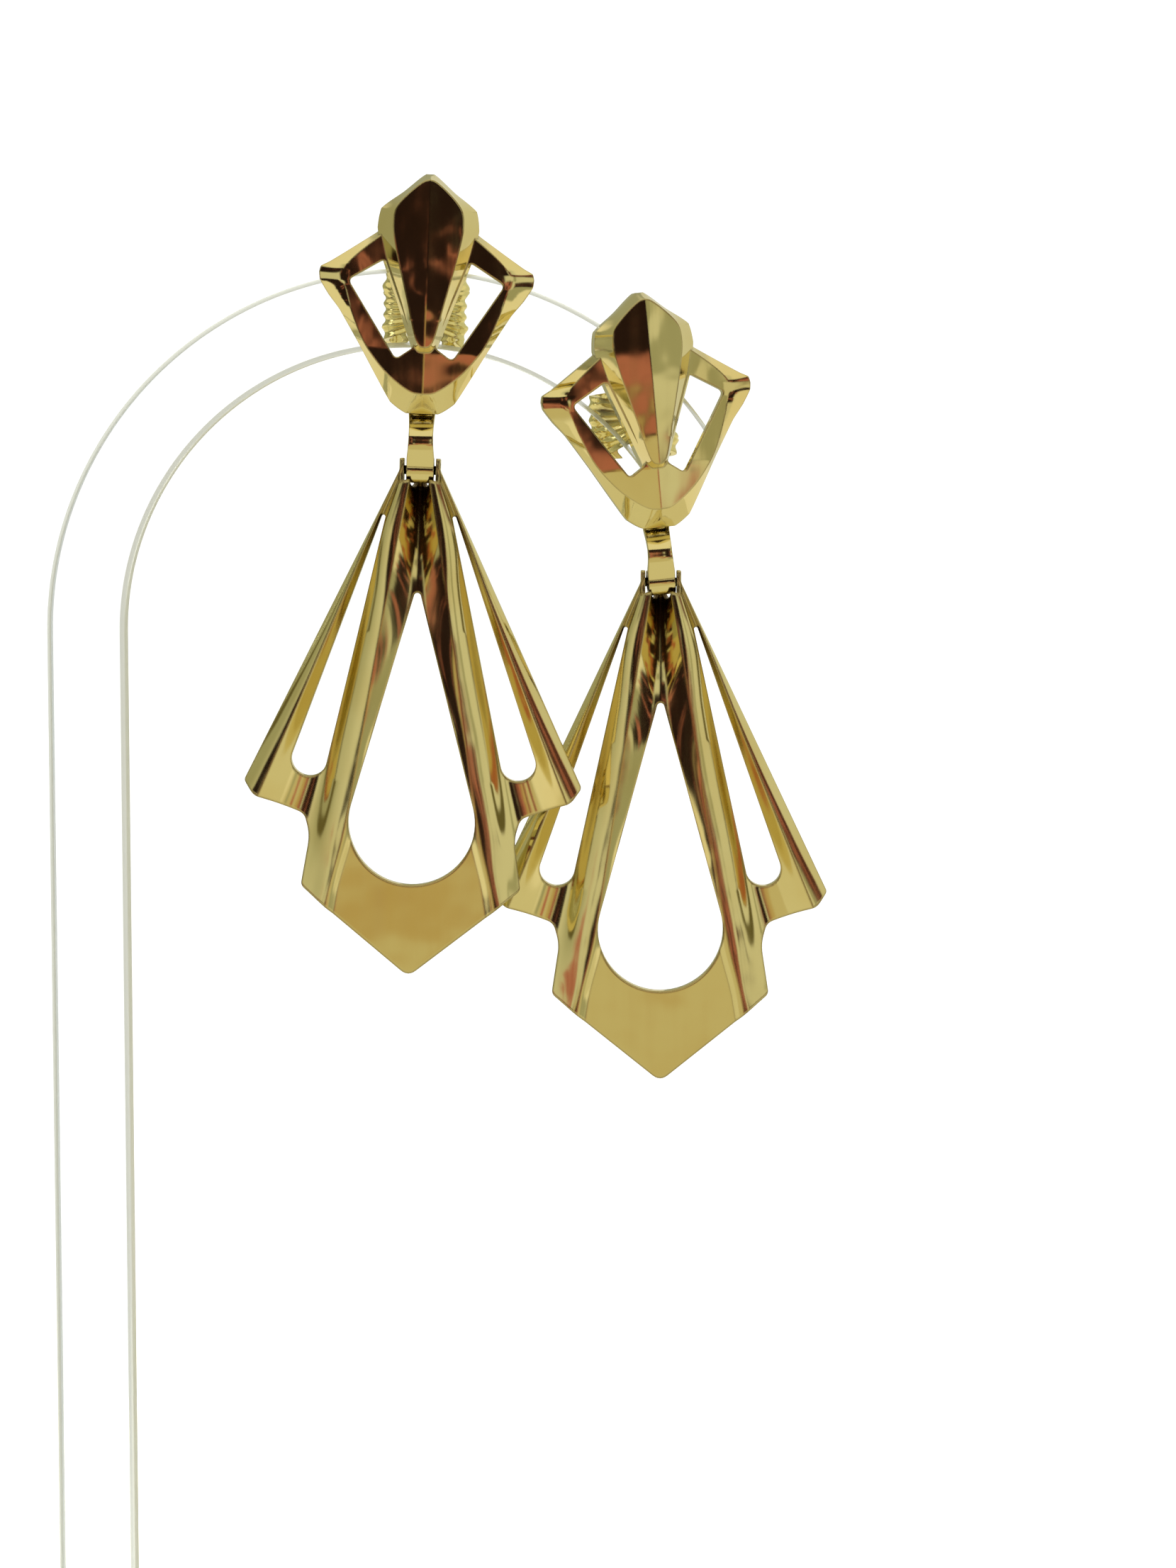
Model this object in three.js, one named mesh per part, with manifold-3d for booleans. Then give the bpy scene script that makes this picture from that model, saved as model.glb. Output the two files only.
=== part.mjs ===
// A pair of pierced, pleated drop earrings hung by their posts on a clear bent stand.
// Millimetres, +Z up, the viewer looks along +Y. The origin is the middle of the stand's underside.
import * as THREE from "three";
import { ConvexGeometry } from "three/addons/geometries/ConvexGeometry.js";
import { mergeVertices } from "three/addons/utils/BufferGeometryUtils.js";
import Module from "manifold-3d";

// Stand: a flat clear bar with one leg and a half-round bend, on a plain base plate.
const BAR_WIDTH = 6.35;
const BAR_THICKNESS = 3;
const BAR_EDGE_EASE = 0.3;
const BEND_RADIUS = 26.5; // to the bar's centreline
const BEND_END_ANGLE = 55; // degrees past the top of the bend, where the bar ends
const BEND_HEIGHT = 95.3; // the bend's centre above the table
const POST_HOLE_RADIUS = 1;
const BASE_LENGTH = 78;
const BASE_DEPTH = 52;
const BASE_THICKNESS = 6;
const BASE_CORNER = 5;
const BASE_EDGE_EASE = 0.4;
const FOOT_RECESS = 0.6; // the leg's foot above the table
const FIT_GAP = 0.3; // between pieces that seat on or in each other

// Ear piece: a kite-shaped bezel with a ridged leaf up its middle.
const KITE_HALF_WIDTH = 8.57;
const KITE_LENGTH = 18.9;
const KITE_RIM = 0.8; // height of the outer wall
const KITE_RIDGE = 2.9; // height of the middle line
const KITE_SLOPE = 0.2; // fall of the inner facets for each millimetre outwards
const KITE_FALL = 0.07; // fall of the plate under the windows for each millimetre down
const KITE_FALL_FROM = 0.74; // where it starts, as a share of the length
const KITE_WALL = 0.8;
const LEAF_HALF_WIDTH = 4.04;
const LEAF_LENGTH = 14.4;
const LEAF_RIM = 1.7;
const LEAF_RIDGE = 4.3;
const LEAF_SLOPE = 0.22;
const LEAF_BOW = 0.4; // how much lower the leaf's ridge is at its lower end
const WINDOW_CORNER = 0.44;
const POST_BELOW_APEX = 10.4;
const POST_RADIUS = 0.42;
const POST_LENGTH = 11.8; // from the ear piece's back
const PAD_WIDTH = 2.5; // the post's foot inside the hollow leaf
const PAD_RECESS = 0.2;

// Link: a bent strip with an eye at each end.
const LINK_WIDTH = 2.2;
const LINK_WAIST = 1.96;
const LINK_STRIP = 0.6;
const LINK_BULGE = 1.4; // how far the strip's middle bows towards the viewer from the pins
const EYE_SPACING = 5.8;
const EYE_RADIUS = 1.05;
const PIN_RADIUS = 0.36;
const PIN_GAP = 0.3; // between a pin and its eye
const TOP_PIN_ABOVE_TIP = 1.3;
const LUG_THICKNESS = 0.5;
const LUG_GAP = 0.25; // beside an eye
const EYE_TUCK = 0.1; // how far the upper eye reaches in front of the ear piece's back

// Drop: one pleated sheet, cut out round its edge and at its three windows.
const DROP_LENGTH = 41.1; // from the pin to the tip
const WING_HALF_WIDTH = 13.7;
const WING_DROP = 25.4; // from the pin to the wing's outer corner
const WING_STEP = 28.1; // from the pin to the notch under the wing
const BODY_HALF_WIDTH = 8.94;
const BODY_DROP = 33.9; // from the pin to the body's lower corner
const APEX_HALF_WIDTH = 1.64;
const SHEET_THICKNESS = 1;
const PLEAT_DEPTH = 1.8;
const DROP_SETBACK = 0.62; // the sheet's lowest front line behind the pin's axis
const TEARDROP_RADIUS = 5.13;
const TEARDROP_TOP = 9.9; // from the pin to the window's top
const TEARDROP_POINT = 0.3; // radius of the window's top
const SIDE_WINDOW_RADIUS = 1.44;
const SIDE_WINDOW_POINT = 0.16;
const EAR_HEIGHT = 0.95; // the hinge ears above the pin
const EAR_DEPTH = 1.9;
const EAR_GAP = 0.18; // beside the link's lower eye
const HEEL_HEIGHT = 0.4; // the sheet behind the eye, above the pin

// Ear nut: a ridged strip curled into two scrolls behind a plate.
const NUT_HALF_WIDTH = 3.8;
const NUT_HEIGHT = 6.2;
const NUT_STRIP = 0.45;
const NUT_RIDGES = 5;
const NUT_GAP = 0.6; // between the stand and the nut's face, which leans with its post
const SCROLL_RADIUS = 1.3;

// Places on the stand: angle past the top of the bend, radial offset, and the ear piece's lean in degrees.
// Standoff is the gap between the bar's face and the ear piece's back.
const LEFT = {
  side: "left",
  holeAngle: 3.2,
  holeOffset: -0.1,
  standoff: 5.2,
  roll: 2.3,
  yaw: 2.5,
  pitch: 0,
  linkRoll: 2,
  linkYaw: 1,
  dropRoll: 1.6,
};
const RIGHT = {
  side: "right",
  holeAngle: 47.8,
  holeOffset: -0.9,
  standoff: 2.6,
  roll: -5.6,
  yaw: 8.5,
  pitch: 0,
  linkRoll: -5.5,
  linkYaw: 5,
  dropRoll: 0,
};

const GOLD = { color: 0xc9a64a, metalness: 1, roughness: 0.12 };
const CLEAR = { color: 0xf2f6f5, metalness: 0, roughness: 0.05, transparent: true, opacity: 0.3 };

const wasm = await Module();
wasm.setup();

function solidFrom(geometry) {
  const bare = geometry.clone();
  bare.deleteAttribute("normal");
  bare.deleteAttribute("uv");
  const merged = mergeVertices(bare, 1e-5);
  const vertProperties = new Float32Array(merged.attributes.position.array);
  const triVerts = new Uint32Array(merged.index.array);
  return new wasm.Manifold(new wasm.Mesh({ numProp: 3, vertProperties, triVerts }));
}

function geometryFrom(solid) {
  const mesh = solid.getMesh();
  const geometry = new THREE.BufferGeometry();
  geometry.setAttribute("position", new THREE.BufferAttribute(new Float32Array(mesh.vertProperties), 3));
  geometry.setIndex(new THREE.BufferAttribute(new Uint32Array(mesh.triVerts), 1));
  const flat = geometry.toNonIndexed();
  flat.computeVertexNormals();
  return flat;
}

function meshFrom(name, geometry, finish) {
  const mesh = new THREE.Mesh(geometry, new THREE.MeshStandardMaterial(finish));
  mesh.name = name;
  return mesh;
}

// A flat outline in X and Z becomes a prism between two depths in Y.
function prism(shape, frontY, backY, curveSegments = 8) {
  const depth = backY - frontY;
  const geometry = new THREE.ExtrudeGeometry(shape, { depth, bevelEnabled: false, curveSegments });
  geometry.rotateX(Math.PI / 2);
  geometry.translate(0, backY, 0);
  return solidFrom(geometry);
}

function boxSolid(width, depth, height, x, y, z) {
  return solidFrom(new THREE.BoxGeometry(width, depth, height).translate(x, y, z));
}

function rodAlongX(radius, length, y, z, sides = 16) {
  const geometry = new THREE.CylinderGeometry(radius, radius, length, sides);
  geometry.rotateZ(Math.PI / 2);
  return solidFrom(geometry.translate(0, y, z));
}

function mirrored(points) {
  const left = points.map((p) => ({ ...p, x: -p.x })).reverse();
  return points.concat(left.filter((p) => Math.abs(p.x) > 1e-6));
}

// A closed outline through points, each corner eased by a small curve.
function easedOutline(corners, ease) {
  const shape = new THREE.Shape();
  corners.forEach((corner, i) => {
    const before = corners[(i + corners.length - 1) % corners.length];
    const after = corners[(i + 1) % corners.length];
    const here = new THREE.Vector2(corner.x, corner.z);
    const towards = (other) => {
      const way = new THREE.Vector2(other.x, other.z).sub(here);
      return here.clone().add(way.setLength(Math.min(corner.ease ?? ease, way.length() * 0.45)));
    };
    const start = towards(before);
    const end = towards(after);
    if (i === 0) shape.moveTo(start.x, start.y);
    else shape.lineTo(start.x, start.y);
    shape.quadraticCurveTo(here.x, here.y, end.x, end.y);
  });
  shape.closePath();
  return shape;
}

// A slot that tapers from a small circle at its top to a larger one at its foot.
function taperedSlot(top, foot) {
  const away = Math.atan2(foot.x - top.x, top.z - foot.z);
  const span = Math.hypot(foot.x - top.x, foot.z - top.z);
  const flare = Math.asin((foot.radius - top.radius) / span);
  const shape = new THREE.Shape();
  shape.absarc(top.x, top.z, top.radius, away + flare, away + Math.PI - flare, false);
  shape.absarc(foot.x, foot.z, foot.radius, away + Math.PI - flare, away + 2 * Math.PI + flare, false);
  shape.closePath();
  return shape;
}

// Stand bar: across is X, up is Z, with the bend's centre above the origin.
function standBar() {
  const outer = BEND_RADIUS + BAR_WIDTH / 2 - BAR_EDGE_EASE;
  const inner = BEND_RADIUS - BAR_WIDTH / 2 + BAR_EDGE_EASE;
  const endAngle = THREE.MathUtils.degToRad(90 - BEND_END_ANGLE);
  const capX = BEND_RADIUS * Math.cos(endAngle);
  const capZ = BEND_HEIGHT + BEND_RADIUS * Math.sin(endAngle);
  const footZ = FOOT_RECESS + BAR_EDGE_EASE;
  const shape = new THREE.Shape();
  shape.moveTo(-outer, footZ);
  shape.lineTo(-inner, footZ);
  shape.lineTo(-inner, BEND_HEIGHT);
  shape.absarc(0, BEND_HEIGHT, inner, Math.PI, endAngle, true);
  shape.absarc(capX, capZ, BAR_WIDTH / 2 - BAR_EDGE_EASE, endAngle + Math.PI, endAngle, false);
  shape.absarc(0, BEND_HEIGHT, outer, endAngle, Math.PI, false);
  shape.closePath();
  const body = new THREE.ExtrudeGeometry(shape, {
    depth: BAR_THICKNESS - 2 * BAR_EDGE_EASE,
    curveSegments: 30,
    bevelThickness: BAR_EDGE_EASE,
    bevelSize: BAR_EDGE_EASE,
    bevelSegments: 1,
  });
  body.rotateX(Math.PI / 2);
  body.translate(0, BAR_THICKNESS / 2 - BAR_EDGE_EASE, 0);
  let bar = solidFrom(body);
  for (const place of [LEFT, RIGHT]) {
    const hole = new THREE.CylinderGeometry(POST_HOLE_RADIUS, POST_HOLE_RADIUS, 2 * BAR_THICKNESS, 20);
    const at = holeCentre(place);
    bar = bar.subtract(solidFrom(hole.translate(at.x, 0, at.z)));
  }
  return geometryFrom(bar);
}

function holeCentre(place) {
  const angle = THREE.MathUtils.degToRad(90 - place.holeAngle);
  const radius = BEND_RADIUS + place.holeOffset;
  return new THREE.Vector3(radius * Math.cos(angle), 0, BEND_HEIGHT + radius * Math.sin(angle));
}

function standBase() {
  const halfLength = BASE_LENGTH / 2 - BASE_EDGE_EASE;
  const halfDepth = BASE_DEPTH / 2 - BASE_EDGE_EASE;
  const corners = [
    { x: halfLength, z: -halfDepth },
    { x: halfLength, z: halfDepth },
    { x: -halfLength, z: halfDepth },
    { x: -halfLength, z: -halfDepth },
  ];
  const geometry = new THREE.ExtrudeGeometry(easedOutline(corners, BASE_CORNER), {
    depth: BASE_THICKNESS - 2 * BASE_EDGE_EASE,
    curveSegments: 8,
    bevelThickness: BASE_EDGE_EASE,
    bevelSize: BASE_EDGE_EASE,
    bevelSegments: 1,
  });
  geometry.translate(0, 0, BASE_EDGE_EASE);
  const slotLength = BAR_WIDTH + 2 * FIT_GAP;
  const slotDepth = BAR_THICKNESS + 2 * FIT_GAP;
  const slot = boxSolid(slotLength, slotDepth, 3 * BASE_THICKNESS, -BEND_RADIUS, 0, BASE_THICKNESS / 2);
  return geometryFrom(solidFrom(geometry).subtract(slot));
}

// Ear piece tables: x as a share of the half width, down as a share of the length.
const KITE_OUTLINE = [
  { x: 0, down: 0.09 },
  { x: 0.96, down: 0.405 },
  { x: 1, down: 0.425 },
  { x: 0.96, down: 0.447 },
  { x: 0.3, down: 0.955 },
  { x: 0.15, down: 1 },
];
const KITE_CREASES = [
  { x: 0.46, down: 0.27 },
  { x: 0.77, down: 0.43 },
  { x: 0.75, down: 0.48 },
  { x: 0.565, down: 0.71 },
  { x: 0.3, down: 0.855 },
  { x: 0.12, down: 0.92 },
];
const KITE_WINDOW = [
  { x: 0.39, down: 0.36 },
  { x: 0.725, down: 0.45 },
  { x: 0.262, down: 0.775 },
  { x: 0.09, down: 0.72 },
];
const LEAF_OUTLINE = [
  { x: 0.08, down: 0 },
  { x: 0.94, down: 0.195 },
  { x: 1, down: 0.3 },
  { x: 0.87, down: 0.48 },
  { x: 0.22, down: 0.975 },
  { x: 0.12, down: 1 },
];
const LEAF_CREASES = [
  { x: 0.08, down: 0.05 },
  { x: 0.44, down: 0.125 },
  { x: 0.66, down: 0.21 },
  { x: 0.69, down: 0.28 },
  { x: 0.61, down: 0.42 },
  { x: 0.4, down: 0.66 },
  { x: 0.15, down: 0.93 },
];

// A table row's place seen from the front, with z from the post's axis.
function kitePoint(row, halfWidth = KITE_HALF_WIDTH, length = KITE_LENGTH) {
  return { x: row.x * halfWidth, z: POST_BELOW_APEX - row.down * length };
}

// How much lower the inner plate is under the windows.
function plateFall(down) {
  return KITE_FALL * KITE_LENGTH * Math.max(down - KITE_FALL_FROM, 0);
}

// The leaf's ridge is highest a third of the way down, and bows lower towards both ends.
function leafRidgeHeight(down) {
  const peak = 0.32;
  return LEAF_RIDGE - LEAF_BOW * ((down - peak) / (1 - peak)) ** 2;
}

function leafPoint(row) {
  return kitePoint(row, LEAF_HALF_WIDTH, LEAF_LENGTH);
}

// The outline moved inwards by a wall, towards the kite's middle.
function shrunk(point, inset) {
  const middle = { x: 0, z: POST_BELOW_APEX - 0.45 * KITE_LENGTH };
  const way = new THREE.Vector2(point.x - middle.x, point.z - middle.z);
  way.setLength(Math.max(way.length() - inset, 0.1));
  return { x: middle.x + way.x, z: middle.z + way.y };
}

function both(point, y) {
  return [new THREE.Vector3(point.x, y, point.z), new THREE.Vector3(-point.x, y, point.z)];
}

// A kite or leaf is the convex skin round its outline, its creases and its ridge. Back is y = 0.
function bezelHull(inset, back) {
  const points = [];
  for (const row of KITE_OUTLINE) {
    const rim = shrunk(kitePoint(row), inset);
    points.push(...both(rim, back), ...both(rim, inset - KITE_RIM));
  }
  const middle = [0.16, KITE_FALL_FROM, 0.92].map((down) => ({ x: 0, down }));
  for (const row of KITE_CREASES.concat(middle)) {
    const crease = kitePoint(row);
    const height = KITE_RIDGE - KITE_SLOPE * crease.x - plateFall(row.down);
    points.push(...both(shrunk(crease, inset), inset - height));
  }
  return solidFrom(new ConvexGeometry(points));
}

function leafHull(inset, back) {
  const points = [];
  for (const row of LEAF_OUTLINE) {
    const rim = leafPoint({ x: row.x - (inset / LEAF_HALF_WIDTH) * row.x, down: row.down });
    rim.z -= inset * (row.down < 0.5 ? 1 : -1);
    points.push(...both(rim, back), ...both(rim, inset - LEAF_RIM));
  }
  for (const row of LEAF_CREASES) {
    const crease = leafPoint({ x: row.x * (1 - inset / LEAF_HALF_WIDTH), down: row.down });
    crease.z -= inset * (row.down < 0.5 ? 1 : -1);
    const ridge = inset - leafRidgeHeight(row.down);
    points.push(...both(crease, ridge + LEAF_SLOPE * crease.x), new THREE.Vector3(0, ridge, crease.z));
  }
  return solidFrom(new ConvexGeometry(points));
}

// Ear piece, with its origin on the post's axis at the flat of its back.
function earPiece() {
  const behind = KITE_WALL;
  const hollow = leafHull(KITE_WALL, behind);
  let solid = bezelHull(0, 0).subtract(bezelHull(KITE_WALL, behind));
  for (const side of [1, -1]) {
    const corners = KITE_WINDOW.map((row) => {
      const point = kitePoint(row);
      return { x: point.x * side, z: point.z };
    });
    if (side > 0) corners.reverse();
    solid = solid.subtract(prism(easedOutline(corners, WINDOW_CORNER), -2 * LEAF_RIDGE, behind, 4));
  }
  solid = solid.add(leafHull(0, 0)).subtract(hollow);
  // The post stands on a pad that fills the hollow behind the leaf.
  const padDepth = leafRidgeHeight(POST_BELOW_APEX / LEAF_LENGTH);
  const pad = boxSolid(PAD_WIDTH, padDepth, PAD_WIDTH, 0, -PAD_RECESS - padDepth / 2, 0);
  solid = solid.add(pad.intersect(leafHull(KITE_WALL / 2, 0)));
  const inPad = 1;
  const post = new THREE.CylinderGeometry(POST_RADIUS, POST_RADIUS, POST_LENGTH + inPad, 14);
  solid = solid.add(solidFrom(post.translate(0, (POST_LENGTH - inPad) / 2, 0)));
  return geometryFrom(solid.subtract(eyeNotch()).add(hingeLugs()));
}

// The pin that carries the link, between two lugs behind the tip.
function topPinZ() {
  return POST_BELOW_APEX - KITE_LENGTH + TOP_PIN_ABOVE_TIP;
}

function topPinY() {
  return EYE_RADIUS - EYE_TUCK;
}

// Room behind the tip for the link's upper eye and strip.
function eyeNotch() {
  const frontY = -EYE_TUCK - FIT_GAP;
  const depth = 4 * EYE_RADIUS;
  const top = topPinZ() + EYE_RADIUS + FIT_GAP;
  const height = 4 * EYE_RADIUS;
  return boxSolid(LINK_WIDTH + 2 * LUG_GAP, depth, height, 0, frontY + depth / 2, top - height / 2);
}

function hingeLugs() {
  const reach = EYE_RADIUS + FIT_GAP + KITE_WALL / 2;
  const innerX = LINK_WIDTH / 2 + LUG_GAP;
  const y = topPinY();
  const z = topPinZ();
  let lugs = rodAlongX(PIN_RADIUS, 2 * (innerX + LUG_THICKNESS / 2), y, z);
  for (const side of [1, -1]) {
    const x = side * (innerX + LUG_THICKNESS / 2);
    const lug = new THREE.CylinderGeometry(2 * PIN_RADIUS, 2 * PIN_RADIUS, LUG_THICKNESS, 16);
    lugs = lugs.add(solidFrom(lug.rotateZ(Math.PI / 2).translate(x, y, z)));
    lugs = lugs.add(boxSolid(LUG_THICKNESS, reach, 4 * PIN_RADIUS, x, y - reach / 2, z));
  }
  return lugs;
}

// Middle line of the link's strip: forward as a share of the bulge, down as a share of the eyes' spacing.
const LINK_BOW = [
  { forward: 0.1, down: 0.15 },
  { forward: 0.2, down: 0.26 },
  { forward: 0.6, down: 0.37 },
  { forward: 1, down: 0.5 },
  { forward: 1, down: 0.655 },
  { forward: 0.68, down: 0.84 },
  { forward: 0.55, down: 0.94 },
];

// Link, with its origin on the upper pin. A strip bows forward between two eyes.
function link() {
  const half = LINK_STRIP / 2;
  const middle = new THREE.CatmullRomCurve3(
    LINK_BOW.map((row) => new THREE.Vector3(0, -row.forward * LINK_BULGE, -row.down * EYE_SPACING)),
  );
  const steps = 14;
  const front = [];
  const rear = [];
  for (let i = 0; i <= steps; i += 1) {
    const at = middle.getPoint(i / steps);
    const way = middle.getTangent(i / steps);
    front.push(new THREE.Vector2(at.y + way.z * half, at.z - way.y * half));
    rear.push(new THREE.Vector2(at.y - way.z * half, at.z + way.y * half));
  }
  const strip = new THREE.Shape(front.concat(rear.reverse()));
  let solid = sideProfile(strip, LINK_WIDTH);
  for (const z of [0, -EYE_SPACING]) {
    solid = solid.add(rodAlongX(EYE_RADIUS, LINK_WIDTH, 0, z, 24));
  }
  for (const z of [0, -EYE_SPACING]) {
    solid = solid.subtract(rodAlongX(PIN_RADIUS + PIN_GAP, 2 * LINK_WIDTH, 0, z, 20));
  }
  return geometryFrom(solid.intersect(linkFront()));
}

// The link seen from the front: full width at both eyes, a waist between.
function linkFront() {
  const half = LINK_WIDTH / 2;
  const top = 2 * EYE_RADIUS;
  const foot = -EYE_SPACING - 2 * EYE_RADIUS;
  const inward = LINK_WIDTH - LINK_WAIST;
  const shape = new THREE.Shape();
  shape.moveTo(-half, foot);
  shape.lineTo(half, foot);
  shape.lineTo(half, -EYE_SPACING + EYE_RADIUS);
  shape.quadraticCurveTo(half - inward, -EYE_SPACING / 2, half, -EYE_RADIUS);
  shape.lineTo(half, top);
  shape.lineTo(-half, top);
  shape.lineTo(-half, -EYE_RADIUS);
  shape.quadraticCurveTo(inward - half, -EYE_SPACING / 2, -half, -EYE_SPACING + EYE_RADIUS);
  shape.closePath();
  return prism(shape, -4 * LINK_BULGE, 4 * EYE_RADIUS, 6);
}

// An outline in Y and Z becomes a prism across X.
function sideProfile(shape, width) {
  const geometry = new THREE.ExtrudeGeometry(shape, { depth: width, bevelEnabled: false });
  geometry.rotateX(Math.PI / 2);
  geometry.rotateZ(Math.PI / 2);
  geometry.translate(-width / 2, 0, 0);
  return solidFrom(geometry);
}

// Sections of the drop: down is a share of the drop's length. Foot, crest, crease, inner, floor, outer and
// rib are places across, as shares of the width from the middle to the fan's outer line at that height.
// The names with a D are the depths there, as shares of the pleat's depth, towards the viewer.
const DROP_SECTIONS = [
  { down: -0.04, foot: 0.1, crest: 0.4, crease: 0.7, inner: 0.85, floor: 0.88, outer: 0.91, rib: 0.95,
    middleD: -0.42, footD: -0.42, crestD: 0.92, creaseD: 0.92, innerD: 0.9, floorD: 0.9, outerD: 0.9,
    ribD: 0.9, edgeD: 0.8 },
  { down: 0.09, foot: 0.06, crest: 0.416, crease: 0.67, inner: 0.84, floor: 0.865, outer: 0.89, rib: 0.94,
    middleD: -0.1, footD: 0, crestD: 1, creaseD: 0.85, innerD: 0.62, floorD: 0.6, outerD: 0.64,
    ribD: 0.85, edgeD: 0.6 },
  { down: 0.25, foot: 0.1, crest: 0.4, crease: 0.54, inner: 0.65, floor: 0.73, outer: 0.8, rib: 0.9,
    middleD: 0.36, footD: 0.44, crestD: 1, creaseD: 0.74, innerD: 0.35, floorD: 0.26, outerD: 0.4,
    ribD: 0.9, edgeD: 0.45 },
  { down: 0.575, foot: 0.3, crest: 0.392, crease: 0.473, inner: 0.541, floor: 0.65, outer: 0.763,
    rib: 0.876, middleD: 0.62, footD: 0.76, crestD: 1, creaseD: 0.66, innerD: 0.22, floorD: 0.05,
    outerD: 0.3, ribD: 0.95, edgeD: 0.42 },
  { down: 0.7, foot: 0.3, crest: 0.39, crease: 0.45, inner: 0.53, floor: 0.64, outer: 0.76, rib: 0.875,
    middleD: 0.72, footD: 0.78, crestD: 0.98, creaseD: 0.68, innerD: 0.25, floorD: 0.05, outerD: 0.3,
    ribD: 0.95, edgeD: 0.42 },
  { down: 0.84, foot: 0.34, crest: 0.39, crease: 0.43, inner: 0.53, floor: 0.64, outer: 0.76, rib: 0.875,
    middleD: 0.74, footD: 0.76, crestD: 0.92, creaseD: 0.68, innerD: 0.3, floorD: 0.1, outerD: 0.3,
    ribD: 0.95, edgeD: 0.42 },
  { down: 1.04, foot: 0.34, crest: 0.39, crease: 0.43, inner: 0.53, floor: 0.64, outer: 0.76, rib: 0.875,
    middleD: 0.72, footD: 0.74, crestD: 0.86, creaseD: 0.64, innerD: 0.3, floorD: 0.1, outerD: 0.3,
    ribD: 0.95, edgeD: 0.42 },
];
const PLEAT_LINES = ["foot", "crest", "crease", "inner", "floor", "outer", "rib"];
const SHEET_ROWS = 24;

// Half the width of the fan's outer line at a share of the drop's length.
function fanHalfWidth(down) {
  const perLength = (WING_HALF_WIDTH - APEX_HALF_WIDTH) / WING_DROP;
  return APEX_HALF_WIDTH + perLength * down * DROP_LENGTH;
}

// Points across the right half of a section, from the middle to past the outer line.
function sectionPoints(section) {
  const width = fanHalfWidth(section.down);
  const across = [0, ...PLEAT_LINES.map((name) => section[name] * width), width, width + 0.6];
  const names = ["middle", ...PLEAT_LINES, "edge", "edge"];
  return names.map((name, i) => ({ x: across[i], depth: section[name + "D"] }));
}

function sectionAt(down) {
  let i = 0;
  while (i < DROP_SECTIONS.length - 2 && DROP_SECTIONS[i + 1].down < down) i += 1;
  const above = DROP_SECTIONS[i];
  const below = DROP_SECTIONS[i + 1];
  const share = (down - above.down) / (below.down - above.down);
  const lower = sectionPoints(below);
  return sectionPoints(above).map((point, k) => ({
    x: THREE.MathUtils.lerp(point.x, lower[k].x, share),
    depth: THREE.MathUtils.lerp(point.depth, lower[k].depth, share),
  }));
}

// The pleated sheet before it is cut out: a grid in front and its copy one thickness behind.
function pleatedSheet() {
  const first = DROP_SECTIONS[0].down;
  const last = DROP_SECTIONS[DROP_SECTIONS.length - 1].down;
  const rows = [];
  for (let i = 0; i <= SHEET_ROWS; i += 1) {
    const down = first + ((last - first) * i) / SHEET_ROWS;
    const right = sectionAt(down);
    const left = right.slice(1).reverse().map((point) => ({ x: -point.x, depth: point.depth }));
    rows.push(left.concat(right).map((point) => ({ ...point, z: -down * DROP_LENGTH })));
  }
  const columns = rows[0].length;
  const positions = [];
  for (const behind of [0, SHEET_THICKNESS]) {
    for (const row of rows) {
      for (const point of row) {
        positions.push(point.x, DROP_SETBACK - point.depth * PLEAT_DEPTH + behind, point.z);
      }
    }
  }
  const layer = rows.length * columns;
  const index = [];
  const quad = (a, b, c, d) => index.push(a, b, c, a, c, d);
  for (let r = 0; r < rows.length - 1; r += 1) {
    for (let c = 0; c < columns - 1; c += 1) {
      const a = r * columns + c;
      quad(a, a + columns, a + columns + 1, a + 1);
      quad(layer + a, layer + a + 1, layer + a + columns + 1, layer + a + columns);
    }
    const left = r * columns;
    const right = left + columns - 1;
    quad(left, layer + left, layer + left + columns, left + columns);
    quad(right, right + columns, layer + right + columns, layer + right);
  }
  const bottom = (rows.length - 1) * columns;
  for (let c = 0; c < columns - 1; c += 1) {
    quad(c, c + 1, layer + c + 1, layer + c);
    quad(bottom + c, layer + bottom + c, layer + bottom + c + 1, bottom + c + 1);
  }
  const geometry = new THREE.BufferGeometry();
  geometry.setAttribute("position", new THREE.BufferAttribute(new Float32Array(positions), 3));
  geometry.setIndex(index);
  return solidFrom(geometry);
}

// Outline of the drop's right half, from the top of its ear to its tip.
function dropOutline() {
  const right = [
    { x: APEX_HALF_WIDTH, z: EAR_HEIGHT, ease: 0.3 },
    { x: APEX_HALF_WIDTH, z: 0, ease: 0.2 },
    { x: WING_HALF_WIDTH, z: -WING_DROP, ease: 0.25 },
    { x: WING_HALF_WIDTH * 0.94, z: -WING_DROP * 1.045, ease: 0.4 },
    { x: BODY_HALF_WIDTH * 0.985, z: -WING_STEP, ease: 0.5 },
    { x: BODY_HALF_WIDTH * 0.93, z: -WING_STEP * 1.06, ease: 0.9 },
    { x: BODY_HALF_WIDTH, z: -BODY_DROP, ease: 0.35 },
    { x: 0, z: -DROP_LENGTH, ease: 0.8 },
  ];
  return easedOutline(mirrored(right).reverse(), 0.3);
}

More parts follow.
